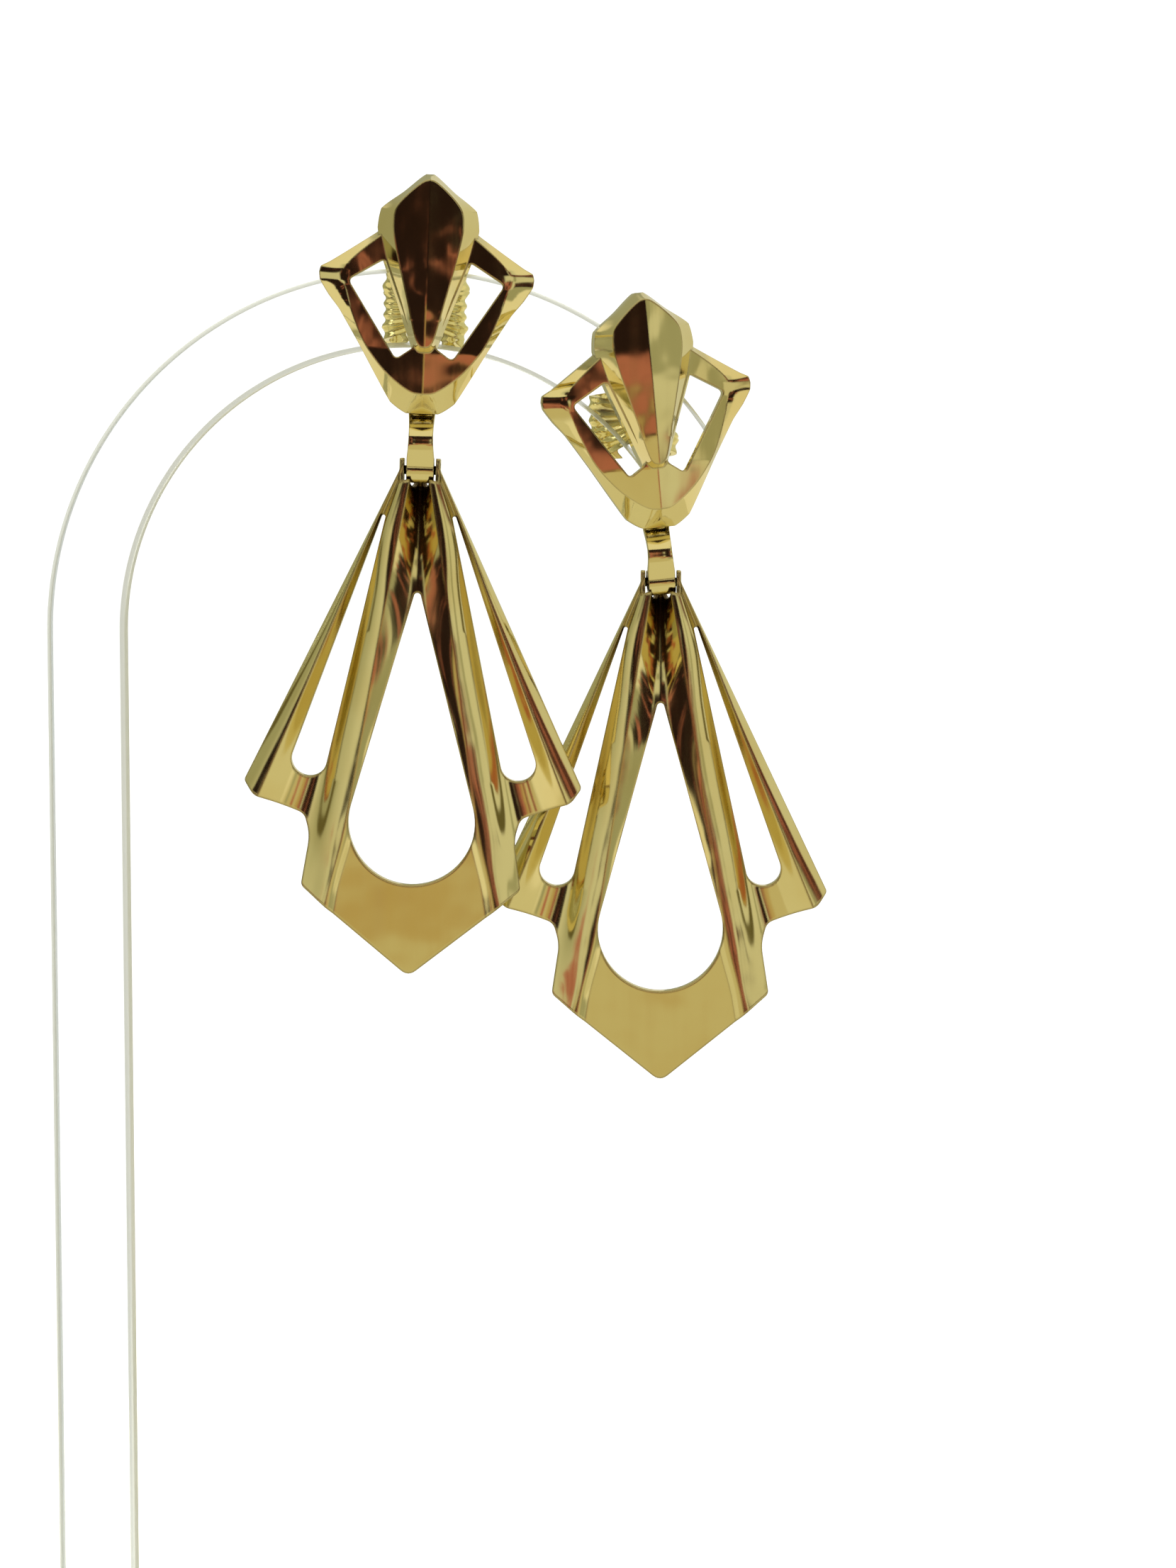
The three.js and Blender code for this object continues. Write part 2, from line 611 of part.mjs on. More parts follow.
// Drop, with its origin on the pin it hangs from.
function drop() {
  const frontY = DROP_SETBACK - 2 * PLEAT_DEPTH;
  const backY = DROP_SETBACK + 2 * PLEAT_DEPTH;
  let solid = pleatedSheet().intersect(prism(dropOutline(), frontY, backY, 6));
  const teardrop = taperedSlot(
    { x: 0, z: -TEARDROP_TOP - TEARDROP_POINT, radius: TEARDROP_POINT },
    { x: 0, z: -TEARDROP_TOP - 0.634 * (DROP_LENGTH - TEARDROP_TOP) + 1.2, radius: TEARDROP_RADIUS },
  );
  solid = solid.subtract(prism(teardrop, frontY, backY, 14));
  for (const side of [1, -1]) {
    const top = { x: side * 0.2085 * WING_HALF_WIDTH, z: -0.15 * WING_DROP, radius: SIDE_WINDOW_POINT };
    const foot = { x: side * 0.619 * WING_HALF_WIDTH, z: -0.929 * WING_DROP, radius: SIDE_WINDOW_RADIUS };
    solid = solid.subtract(prism(taperedSlot(top, foot), frontY, backY, 8));
  }
  const slotHalf = LINK_WIDTH / 2 + EAR_GAP;
  const earWidth = APEX_HALF_WIDTH - slotHalf;
  for (const side of [1, -1]) {
    const ear = boxSolid(earWidth, EAR_DEPTH, 2 * EAR_HEIGHT, side * (slotHalf + earWidth / 2), 0, 0);
    solid = solid.add(ear);
  }
  // Room for the link's lower eye, and above the heel for its strip.
  const eyeRoom = EYE_RADIUS + FIT_GAP;
  solid = solid.subtract(rodAlongX(eyeRoom, 2 * slotHalf, 0, 0, 24));
  const overHeel = boxSolid(2 * slotHalf, 4 * eyeRoom, 4 * EAR_HEIGHT, 0, 0, HEEL_HEIGHT + 2 * EAR_HEIGHT);
  const front = boxSolid(2 * slotHalf, 4 * eyeRoom, eyeRoom + EAR_HEIGHT, 0, -2 * eyeRoom, EAR_HEIGHT / 2);
  solid = solid.subtract(overHeel).subtract(front);
  solid = solid.add(rodAlongX(PIN_RADIUS, 2 * slotHalf + earWidth, 0, 0));
  return geometryFrom(solid);
}

// Ear nut, with its origin on the post's axis at its front face.
function earNut() {
  const strip = [];
  const rear = [];
  const turns = 22;
  const centreX = NUT_HALF_WIDTH - SCROLL_RADIUS;
  for (let i = 0; i <= turns; i += 1) {
    const share = i / turns;
    const angle = -Math.PI / 2 + share * 1.62 * Math.PI;
    const radius = SCROLL_RADIUS - share * 0.35;
    const x = centreX + radius * Math.cos(angle);
    const y = SCROLL_RADIUS + radius * Math.sin(angle);
    strip.push(new THREE.Vector2(x, y));
    rear.push(new THREE.Vector2(
      centreX + (radius - NUT_STRIP) * Math.cos(angle),
      SCROLL_RADIUS + (radius - NUT_STRIP) * Math.sin(angle),
    ));
  }
  const halfStrip = [new THREE.Vector2(0, 0), ...strip, ...rear.reverse(), new THREE.Vector2(0, NUT_STRIP)];
  let solid = null;
  for (const side of [1, -1]) {
    const flat = halfStrip.map((p) => new THREE.Vector2(p.x * side, p.y));
    if (side < 0) flat.reverse();
    const scroll = new THREE.Shape(flat);
    const geometry = new THREE.ExtrudeGeometry(scroll, { depth: NUT_HEIGHT, bevelEnabled: false });
    geometry.translate(0, 0, -NUT_HEIGHT / 2);
    solid = solid ? solid.add(solidFrom(geometry)) : solidFrom(geometry);
  }
  const face = [
    { x: 0, z: NUT_HEIGHT * 0.42 },
    { x: NUT_HALF_WIDTH * 0.75, z: NUT_HEIGHT * 0.46 },
    { x: NUT_HALF_WIDTH * 1.02, z: NUT_HEIGHT * 0.25 },
    { x: NUT_HALF_WIDTH * 1.02, z: -NUT_HEIGHT * 0.12 },
    { x: 0, z: -NUT_HEIGHT / 2 },
  ];
  const outline = prism(easedOutline(mirrored(face).reverse(), 0.5), -1, 2 * SCROLL_RADIUS + 1, 4);
  solid = solid.intersect(outline);
  const groove = NUT_STRIP * 0.4;
  for (const side of [1, -1]) {
    for (let i = 0; i < NUT_RIDGES; i += 1) {
      const z = NUT_HEIGHT * (0.3 - (0.56 * i) / (NUT_RIDGES - 1));
      const ring = new THREE.TorusGeometry(SCROLL_RADIUS, groove, 5, 18);
      ring.translate(side * centreX, SCROLL_RADIUS, z);
      solid = solid.subtract(solidFrom(ring));
    }
  }
  const boreRadius = POST_RADIUS + FIT_GAP;
  const bore = new THREE.CylinderGeometry(boreRadius, boreRadius, 4 * SCROLL_RADIUS, 16);
  return geometryFrom(solid.subtract(solidFrom(bore)));
}

function turn(object, pitch, roll, yaw) {
  object.rotation.set(
    THREE.MathUtils.degToRad(pitch),
    THREE.MathUtils.degToRad(roll),
    THREE.MathUtils.degToRad(yaw),
    "ZYX",
  );
  return object;
}

// One earring on the stand: ear piece and nut on the post's hole, link under it, drop under the link.
function earring(place) {
  const group = new THREE.Group();
  const hole = holeCentre(place);
  const ear = new THREE.Group();
  turn(ear, place.pitch, place.roll, place.yaw);
  const reach = new THREE.Vector3(0, place.standoff + BAR_THICKNESS / 2, 0);
  ear.position.copy(hole).sub(reach.applyEuler(ear.rotation));
  ear.add(meshFrom("kite_top_" + place.side, earPiece(), GOLD));
  group.add(ear);
  ear.updateMatrix();
  const nut = meshFrom("ear_nut_" + place.side, earNut(), GOLD);
  nut.position.set(0, place.standoff + BAR_THICKNESS + NUT_GAP, 0);
  ear.add(nut);
  const upperPin = new THREE.Vector3(0, topPinY(), topPinZ()).applyMatrix4(ear.matrix);
  const hanger = meshFrom("link_" + place.side, link(), GOLD);
  hanger.position.copy(upperPin);
  turn(hanger, 0, place.linkRoll, place.linkYaw);
  hanger.updateMatrix();
  group.add(hanger);
  const lowerPin = new THREE.Vector3(0, 0, -EYE_SPACING).applyMatrix4(hanger.matrix);
  const fan = meshFrom("drop_" + place.side, drop(), GOLD);
  fan.position.copy(lowerPin);
  turn(fan, 0, place.dropRoll, 0);
  group.add(fan);
  return group;
}

const stand = new THREE.Group();
stand.add(meshFrom("stand_bar", standBar(), CLEAR));
stand.add(meshFrom("stand_base", standBase(), CLEAR));

const part = new THREE.Group();
part.add(stand, earring(LEFT), earring(RIGHT));

export default part;
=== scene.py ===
# %% [markdown]
# # A pair of pleated gold-tone drop earrings on a clear stand
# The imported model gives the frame: bodies, joints and the box that every piece has to stay in.
# Each CAD piece is rebuilt here from the same named sizes, only finer, so that polished metal has
# smooth faces and crisp creases. Sizes are in millimetres and are turned into metres at the end.

# %% Load the frame
import math
import bmesh
import bpy
import numpy as np
from mathutils import Matrix, Vector


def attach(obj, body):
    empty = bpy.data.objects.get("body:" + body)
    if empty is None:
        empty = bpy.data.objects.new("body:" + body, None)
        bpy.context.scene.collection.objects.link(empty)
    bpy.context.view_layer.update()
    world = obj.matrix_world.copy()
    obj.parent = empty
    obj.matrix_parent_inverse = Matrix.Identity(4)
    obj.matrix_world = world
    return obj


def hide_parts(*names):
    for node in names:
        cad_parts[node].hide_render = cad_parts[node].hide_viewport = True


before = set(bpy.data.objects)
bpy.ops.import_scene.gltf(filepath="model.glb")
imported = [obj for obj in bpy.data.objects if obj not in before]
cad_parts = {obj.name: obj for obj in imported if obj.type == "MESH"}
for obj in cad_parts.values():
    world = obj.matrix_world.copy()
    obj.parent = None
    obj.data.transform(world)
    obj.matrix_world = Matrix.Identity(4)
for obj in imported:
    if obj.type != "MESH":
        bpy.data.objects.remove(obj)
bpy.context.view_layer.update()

# %% [markdown]
# ## Camera
# The photo was taken from a little above the earrings with a long lens, so upright lines stay upright.
# The camera is placed first, because all later choices are judged through it.

# %% Camera
MM = 0.001
CAMERA_PITCH = math.radians(5.4)
CAMERA_DISTANCE = 300 * MM
CAMERA_TARGET = Vector((14.74, -5.0, 83.2)) * MM
PHOTO_HEIGHT = 2212
FOCAL_PIXELS = 5199

camera_data = bpy.data.cameras.new("photo_camera")
camera = bpy.data.objects.new("photo_camera", camera_data)
bpy.context.scene.collection.objects.link(camera)
camera_data.sensor_width = 36
camera_data.lens = FOCAL_PIXELS * camera_data.sensor_width / PHOTO_HEIGHT
camera_data.clip_start = 10 * MM
camera_data.clip_end = 20
away = Vector((0, -math.cos(CAMERA_PITCH), math.sin(CAMERA_PITCH)))
camera.location = CAMERA_TARGET + CAMERA_DISTANCE * away
camera.rotation_euler = (-away).to_track_quat("-Z", "Y").to_euler()
bpy.context.scene.camera = camera
print("lens:", round(camera_data.lens, 1), "mm")

# %% [markdown]
# ## Places on the stand
# Each earring hangs from a hole in the bent bar. The ear piece leans a little on its post, the link hangs
# from the ear piece and the drop hangs from the link, so every place is worked out from the one above it.

# %% Where each piece hangs
BEND_RADIUS = 26.5
BEND_HEIGHT = 95.3
BAR_THICKNESS = 3
EYE_SPACING = 5.8
EYE_RADIUS = 1.05
EYE_TUCK = 0.1
KITE_LENGTH = 18.9
POST_BELOW_APEX = 10.4
TOP_PIN_ABOVE_TIP = 1.3
NUT_GAP = 0.6

PLACES = {
    "left": dict(angle=3.2, offset=-0.1, standoff=5.2, roll=2.3, yaw=2.5, pitch=0,
                 link_roll=2, link_yaw=1, drop_roll=1.6),
    "right": dict(angle=47.8, offset=-0.9, standoff=2.6, roll=-5.6, yaw=8.5, pitch=0,
                  link_roll=-5.5, link_yaw=5, drop_roll=0),
}


def turned(pitch, roll, yaw):
    turn_x = Matrix.Rotation(math.radians(pitch), 4, "X")
    turn_y = Matrix.Rotation(math.radians(roll), 4, "Y")
    return Matrix.Rotation(math.radians(yaw), 4, "Z") @ turn_y @ turn_x


def hole_centre(place):
    angle = math.radians(90 - place["angle"])
    radius = BEND_RADIUS + place["offset"]
    return Vector((radius * math.cos(angle), 0, BEND_HEIGHT + radius * math.sin(angle)))


def hang(place):
    lean = turned(place["pitch"], place["roll"], place["yaw"])
    reach = lean @ Vector((0, place["standoff"] + BAR_THICKNESS / 2, 0))
    kite = Matrix.Translation(hole_centre(place) - reach) @ lean
    nut = kite @ Matrix.Translation((0, place["standoff"] + BAR_THICKNESS + NUT_GAP, 0))
    upper_pin = kite @ Vector((0, EYE_RADIUS - EYE_TUCK, POST_BELOW_APEX - KITE_LENGTH + TOP_PIN_ABOVE_TIP))
    link = Matrix.Translation(upper_pin) @ turned(0, place["link_roll"], place["link_yaw"])
    lower_pin = link @ Vector((0, 0, -EYE_SPACING))
    drop = Matrix.Translation(lower_pin) @ turned(0, place["drop_roll"], 0)
    return dict(kite=kite, nut=nut, link=link, drop=drop)


hung = {side: hang(place) for side, place in PLACES.items()}
for side, parts in hung.items():
    print(side, {name: tuple(round(v, 2) for v in m.translation) for name, m in parts.items()})

# %% [markdown]
# ## Small tools
# A piece is a mesh in millimetres, put in its place and scaled to metres. It could be cut by moving single
# points, but a boolean keeps the shape exact: the cutter is a plain solid, and what is left is a new mesh.

# %% Mesh helpers
def finished(b, name):
    mesh = bpy.data.meshes.new(name)
    b.to_mesh(mesh)
    b.free()
    return mesh


def welded(mesh, distance):
    b = bmesh.new()
    b.from_mesh(mesh)
    bmesh.ops.remove_doubles(b, verts=b.verts, dist=distance)
    bmesh.ops.recalc_face_normals(b, faces=b.faces)
    b.to_mesh(mesh)
    b.free()
    return mesh


def new_mesh(name, points, faces):
    mesh = bpy.data.meshes.new(name)
    mesh.from_pydata([tuple(p) for p in points], [], faces)
    mesh.validate()
    return welded(mesh, 1e-5)


def linked(name, mesh):
    piece = bpy.data.objects.new(name, mesh)
    bpy.context.scene.collection.objects.link(piece)
    return piece


def taken(work, *others):
    """The mesh that an object's modifiers give. The objects themselves are used up."""
    mesh = bpy.data.meshes.new_from_object(work.evaluated_get(bpy.context.evaluated_depsgraph_get()))
    for used in (work, *others):
        bpy.data.objects.remove(used)
    return mesh


def carved(mesh, tool, operation="DIFFERENCE"):
    work, cutter = linked("work", mesh), linked("cutter", tool)
    step = work.modifiers.new("carve", "BOOLEAN")
    step.operation = operation
    step.solver = "EXACT"
    step.object = cutter
    return taken(work, cutter)


def joined(*meshes):
    b = bmesh.new()
    for mesh in meshes:
        b.from_mesh(mesh)
    return finished(b, meshes[0].name)


def eased(mesh, width, angle):
    work = linked("work", mesh)
    step = work.modifiers.new("ease", "BEVEL")
    step.width = width
    step.segments = 2
    step.limit_method = "ANGLE"
    step.angle_limit = math.radians(angle)
    return taken(work)


def place_piece(name, mesh, matrix, material, body, node, smooth_angle):
    own = mesh.copy()
    own.transform(Matrix.Scale(MM, 4) @ matrix)
    for polygon in own.polygons:
        polygon.use_smooth = True
    own.set_sharp_from_angle(angle=math.radians(smooth_angle))
    own.materials.clear()
    own.materials.append(material)
    piece = linked(name, own)
    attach(piece, body)
    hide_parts(node)
    own.calc_loop_triangles()
    print(name, "rides on", body + ",", len(own.loop_triangles), "triangles")
    return piece


# %% [markdown]
# Flat shapes come from a 2D curve: its outer loop is filled, loops inside it become holes, and it is
# extruded to a thickness, with a small round on every edge if asked.

# %% Shapes cut from flat stock
def rounded_loop(corners, ease, steps=6):
    points = []
    for i, corner in enumerate(corners):
        here = Vector(corner[:2])
        size = corner[2] if len(corner) > 2 else ease
        ends = []
        for other in (corners[i - 1], corners[(i + 1) % len(corners)]):
            way = Vector(other[:2]) - here
            ends.append(here + way.normalized() * min(size, way.length * 0.45))
        for k in range(steps + 1):
            t = k / steps
            points.append((1 - t) ** 2 * ends[0] + 2 * t * (1 - t) * here + t * t * ends[1])
    return points


def ring_loop(x, z, radius, steps=48):
    turns = [2 * math.pi * k / steps for k in range(steps)]
    return [Vector((x + radius * math.cos(a), z + radius * math.sin(a))) for a in turns]


def tapered_loop(top, foot, steps):
    top_x, top_z, top_radius = top
    foot_x, foot_z, foot_radius = foot
    away_angle = math.atan2(foot_x - top_x, top_z - foot_z)
    flare = math.asin((foot_radius - top_radius) / math.hypot(foot_x - top_x, foot_z - top_z))
    points = []
    for x, z, radius, start, end in (
        (top_x, top_z, top_radius, away_angle + flare, away_angle + math.pi - flare),
        (foot_x, foot_z, foot_radius, away_angle + math.pi - flare, away_angle + 2 * math.pi + flare),
    ):
        for k in range(steps + 1):
            a = start + (end - start) * k / steps
            points.append(Vector((x + radius * math.cos(a), z + radius * math.sin(a))))
    return points


def plate_mesh(loops, thickness, round_edge=0, upright=True):
    curve = bpy.data.curves.new("plate", "CURVE")
    curve.dimensions = "2D"
    curve.fill_mode = "BOTH"
    curve.extrude = thickness / 2 - round_edge
    curve.bevel_depth = round_edge
    curve.bevel_resolution = 2
    curve.offset = -round_edge
    for loop in loops:
        spline = curve.splines.new("POLY")
        spline.points.add(len(loop) - 1)
        for point, place in zip(spline.points, loop):
            point.co = (place[0], place[1], 0, 1)
        spline.use_cyclic_u = True
    mesh = taken(linked("plate", curve))
    if upright:
        mesh.transform(Matrix.Rotation(math.pi / 2, 4, "X"))
    return welded(mesh, 1e-4)


def rod_mesh(radius, length, axis="X", centre=(0, 0, 0), sides=40, ease=0):
    b = bmesh.new()
    bmesh.ops.create_cone(b, cap_ends=True, segments=sides, radius1=radius, radius2=radius, depth=length)
    if ease:
        ends = [e for e in b.edges if abs(abs(e.verts[0].co.z) - length / 2) < 1e-6
                and abs(e.verts[0].co.z - e.verts[1].co.z) < 1e-6]
        bmesh.ops.bevel(b, geom=ends, offset=ease, segments=3, affect="EDGES", profile=0.5)
    mesh = finished(b, "rod")
    if axis == "X":
        mesh.transform(Matrix.Rotation(math.pi / 2, 4, "Y"))
    if axis == "Y":
        mesh.transform(Matrix.Rotation(math.pi / 2, 4, "X"))
    mesh.transform(Matrix.Translation(centre))
    return mesh


def block_mesh(size, centre, ease=0):
    b = bmesh.new()
    bmesh.ops.create_cube(b, size=1)
    bmesh.ops.scale(b, vec=size, verts=b.verts)
    bmesh.ops.translate(b, vec=centre, verts=b.verts)
    if ease:
        bmesh.ops.bevel(b, geom=b.edges[:], offset=ease, segments=2, affect="EDGES", profile=0.5)
    return finished(b, "block")


print("a sample plate has", len(plate_mesh([ring_loop(0, 0, 5)], 1, 0.2).polygons), "faces")

# %% [markdown]
# ## Shader groups
# An effect that several finishes share is a node group, built once and given its own values in each material.
# Adding and linking nodes is always the same work, so a few short helpers come first.

# %% Node helpers
def add_node(tree, kind, inputs=(), **settings):
    node = tree.nodes.new(kind)
    for name, value in settings.items():
        setattr(node, name, value)
    for socket, value in dict(inputs).items():
        if isinstance(value, bpy.types.NodeSocket):
            tree.links.new(value, node.inputs[socket])
        else:
            node.inputs[socket].default_value = value
    return node


def soft_step(tree, value, low, high):
    return add_node(tree, "ShaderNodeMapRange", {"Value": value, "From Min": low, "From Max": high},
                    interpolation_type="SMOOTHSTEP").outputs[0]


def maths(tree, operation, first, second=0.0):
    return add_node(tree, "ShaderNodeMath", {0: first, 1: second}, operation=operation).outputs[0]


def mixed(tree, share, first, second):
    return add_node(tree, "ShaderNodeMix", {0: share, 6: first, 7: second}, data_type="RGBA").outputs[2]


def new_group(name, sockets_in, sockets_out):
    group = bpy.data.node_groups.new(name, "ShaderNodeTree")
    for label, kind, value in sockets_in:
        socket = group.interface.new_socket(name=label, in_out="INPUT", socket_type=kind)
        socket.default_value = value
    for label, kind in sockets_out:
        group.interface.new_socket(name=label, in_out="OUTPUT", socket_type=kind)
    return group, group.nodes.new("NodeGroupInput"), group.nodes.new("NodeGroupOutput")


# %% [markdown]
# Polished plate is never quite even: a slow ripple from the buffing wheel bends what it mirrors, and hair
# scratches break its brightest spots. Two noises give both as a height, and the scratches also dull the gloss.

# %% Buffed metal group
buffed, given, made = new_group(
    "buffed_metal",
    [("Ripple Scale", "NodeSocketFloat", 250.0), ("Scratch Scale", "NodeSocketFloat", 900.0),
     ("Ripple", "NodeSocketFloat", 1.0), ("Scratch", "NodeSocketFloat", 0.3),
     ("Gloss", "NodeSocketFloat", 0.06)],
    [("Height", "NodeSocketFloat"), ("Roughness", "NodeSocketFloat")],
)
place = add_node(buffed, "ShaderNodeTexCoord").outputs["Object"]
ripple = add_node(buffed, "ShaderNodeTexNoise", {"Vector": place, "Scale": given.outputs["Ripple Scale"],
                                                 "Detail": 1.0, "Roughness": 0.4})
stretch = add_node(buffed, "ShaderNodeMapping", {"Vector": place, "Scale": (1.0, 1.0, 0.06),
                                                 "Rotation": (0.2, 0.35, 0.0)})
hair = add_node(buffed, "ShaderNodeTexNoise", {"Vector": stretch.outputs["Vector"], "Detail": 2.0,
                                               "Scale": given.outputs["Scratch Scale"]})
rippled = maths(buffed, "MULTIPLY", ripple.outputs["Fac"], given.outputs["Ripple"])
scratched = maths(buffed, "MULTIPLY", hair.outputs["Fac"], given.outputs["Scratch"])
dull = add_node(buffed, "ShaderNodeMapRange", {"Value": hair.outputs["Fac"], "From Min": 0.35, "From Max": 0.75,
                                               "To Min": 0.0, "To Max": 0.05})
gloss = maths(buffed, "ADD", given.outputs["Gloss"], dull.outputs[0])
buffed.links.new(maths(buffed, "ADD", rippled, scratched), made.inputs["Height"])
buffed.links.new(gloss, made.inputs["Roughness"])
print("group:", buffed.name, "with", len(buffed.nodes), "nodes")

# %% [markdown]
# Thin gold plate wears to a warmer tone in soft patches. A wide noise chooses where, which is enough, because
# the patches have no edge that could be seen.

# %% Plate tone group
plate_tone, given, made = new_group(
    "plate_tone",
    [("Colour", "NodeSocketColor", (0.8, 0.66, 0.3, 1)),
     ("Worn Colour", "NodeSocketColor", (0.72, 0.5, 0.2, 1)),
     ("Patch Scale", "NodeSocketFloat", 120.0), ("Patches", "NodeSocketFloat", 0.5)],
    [("Colour", "NodeSocketColor")],
)
place = add_node(plate_tone, "ShaderNodeTexCoord").outputs["Object"]
patch = add_node(plate_tone, "ShaderNodeTexNoise", {"Vector": place, "Detail": 3.0,
                                                    "Scale": given.outputs["Patch Scale"]})
spread = add_node(plate_tone, "ShaderNodeMapRange", {"Value": patch.outputs["Fac"], "From Min": 0.45,
                                                     "From Max": 0.75})
share = maths(plate_tone, "MULTIPLY", spread.outputs[0], given.outputs["Patches"])
tint = mixed(plate_tone, share, given.outputs["Colour"], given.outputs["Worn Colour"])
plate_tone.links.new(tint, made.inputs["Colour"])
print("group:", plate_tone.name, "with", len(plate_tone.nodes), "nodes")

# %% [markdown]
# Narrow corners are darkened to brown in the colour as painted shade, and each crisp crease gets a fine painted
# dark line.
# Ambient occlusion finds the corners. A crease is found where the rounded normal leaves the true one.

# %% Painted crevice shade group
painted_crevice_shade, given, made = new_group(
    "painted_crevice_shade",
    [("Colour", "NodeSocketColor", (0.8, 0.66, 0.3, 1)),
     ("Shade Colour", "NodeSocketColor", (0.09, 0.05, 0.02, 1)),
     ("Reach", "NodeSocketFloat", 0.001), ("Crease Normal", "NodeSocketVector", (0, 0, 1)),
     ("Crease Line", "NodeSocketFloat", 0.5)],
    [("Colour", "NodeSocketColor")],
)
# Painted shade: the plate colour is darkened where ambient occlusion is high and along crisp creases.
corner = add_node(painted_crevice_shade, "ShaderNodeAmbientOcclusion", {"Distance": given.outputs["Reach"]}, samples=6)
closed = add_node(painted_crevice_shade, "ShaderNodeMapRange", {"Value": corner.outputs["AO"], "From Min": 0.62,
                                                  "From Max": 0.25})
true_normal = add_node(painted_crevice_shade, "ShaderNodeNewGeometry").outputs["Normal"]
match = add_node(painted_crevice_shade, "ShaderNodeVectorMath", {0: true_normal, 1: given.outputs["Crease Normal"]},
                 operation="DOT_PRODUCT")
line = add_node(painted_crevice_shade, "ShaderNodeMapRange", {"Value": match.outputs["Value"], "From Min": 0.995,
                                                "From Max": 0.95})
faint = maths(painted_crevice_shade, "MULTIPLY", line.outputs[0], given.outputs["Crease Line"])
shade_share = maths(painted_crevice_shade, "MAXIMUM", faint, closed.outputs[0])
painted_shade = mixed(painted_crevice_shade, shade_share, given.outputs["Colour"], given.outputs["Shade Colour"])
painted_crevice_shade.links.new(painted_shade, made.inputs["Colour"])
print("group:", painted_crevice_shade.name, "with", len(painted_crevice_shade.nodes), "nodes")

# %% [markdown]
# ## Gold finishes
# The plate is a real metal colour with a mirror gloss. The Bevel node rounds each edge in the shading only,
# as tumbling does to real pressings, so that edges catch a thin line of light.

# %% Gold materials
def gold_material(name, colour, worn, gloss, ripple, edge_round, shade_reach):
    material = bpy.data.materials.new(name)
    material.use_nodes = True
    tree = material.node_tree
    shader = tree.nodes["Principled BSDF"]
    shader.inputs["Metallic"].default_value = 1.0
    shader.inputs["IOR"].default_value = 1.5
    tone = add_node(tree, "ShaderNodeGroup", node_tree=plate_tone)
    tone.inputs["Colour"].default_value = colour
    tone.inputs["Worn Colour"].default_value = worn
    polish = add_node(tree, "ShaderNodeGroup", node_tree=buffed)
    polish.inputs["Ripple"].default_value = ripple
    polish.inputs["Scratch"].default_value = 0.04
    polish.inputs["Gloss"].default_value = gloss
    edge = add_node(tree, "ShaderNodeBevel", {"Radius": edge_round * MM}, samples=6)
    bump = add_node(tree, "ShaderNodeBump", {"Height": polish.outputs["Height"], "Distance": 0.05 * MM,
                                             "Normal": edge.outputs["Normal"], "Strength": 1.0})
    # The plate colour goes through the painted corner and crease shade before it reaches the shader.
    painted_shade = add_node(tree, "ShaderNodeGroup", node_tree=painted_crevice_shade)
    painted_shade.inputs["Reach"].default_value = shade_reach * MM
    tree.links.new(tone.outputs["Colour"], painted_shade.inputs["Colour"])
    tree.links.new(edge.outputs["Normal"], painted_shade.inputs["Crease Normal"])
    tree.links.new(painted_shade.outputs["Colour"], shader.inputs["Base Color"])
    tree.links.new(polish.outputs["Roughness"], shader.inputs["Roughness"])
    tree.links.new(bump.outputs["Normal"], shader.inputs["Normal"])
    material.diffuse_color = colour
    return material


GOLD = (0.82, 0.72, 0.36, 1)
WORN_GOLD = (0.72, 0.55, 0.20, 1)
NUT_GOLD = (0.86, 0.76, 0.34, 1)
# colour, worn colour, gloss, ripple, round of the edges and reach of the painted corner shade in millimetres
gold_kite = gold_material("gold_kite", GOLD, WORN_GOLD, 0.04, 2.0, 0.2, 1.2)
gold_drop = gold_material("gold_drop", GOLD, WORN_GOLD, 0.06, 0.8, 0.3, 1.6)
gold_link = gold_material("gold_link", GOLD, WORN_GOLD, 0.07, 0.6, 0.12, 0.7)
gold_nut = gold_material("gold_nut", NUT_GOLD, GOLD, 0.12, 0.5, 0.1, 0.5)
print("gold finishes:", gold_kite.name, gold_drop.name, gold_link.name, gold_nut.name)

# %% [markdown]
# ## Clear acrylic
# Cast acrylic bends light like glass but is a little softer: its faces carry faint handling marks, and its
# cut edges look pale green-grey, because light has come a long way through the sheet.

# %% Acrylic material
acrylic = bpy.data.materials.new("clear_acrylic")
acrylic.use_nodes = True
tree = acrylic.node_tree
shader = tree.nodes["Principled BSDF"]
shader.inputs["Transmission Weight"].default_value = 1.0
shader.inputs["IOR"].default_value = 1.49
place = add_node(tree, "ShaderNodeTexCoord").outputs["Object"]
smear = add_node(tree, "ShaderNodeTexNoise", {"Vector": place, "Scale": 60.0, "Detail": 4.0})
haze = add_node(tree, "ShaderNodeMapRange", {"Value": smear.outputs["Fac"], "From Min": 0.5, "From Max": 0.8,
                                             "To Min": 0.0, "To Max": 0.04})
tint = add_node(tree, "ShaderNodeMapRange", {"Value": smear.outputs["Fac"], "To Min": 0.97, "To Max": 1.0})
clear = add_node(tree, "ShaderNodeCombineColor", {0: tint.outputs[0], 1: 0.995, 2: 0.99})
tree.links.new(haze.outputs[0], shader.inputs["Roughness"])
tree.links.new(clear.outputs[0], shader.inputs["Base Color"])


def acrylic_edge():
    edge = acrylic.copy()
    edge.name = "acrylic_edge"
    edge_shader = edge.node_tree.nodes["Principled BSDF"]
    for socket in ("Base Color", "Roughness"):
        edge.node_tree.links.remove(edge_shader.inputs[socket].links[0])
    edge_shader.inputs["Roughness"].default_value = 0.3
    edge_shader.inputs["Transmission Weight"].default_value = 0.4
    edge_shader.inputs["Base Color"].default_value = (0.74, 0.79, 0.76, 1)
    return edge


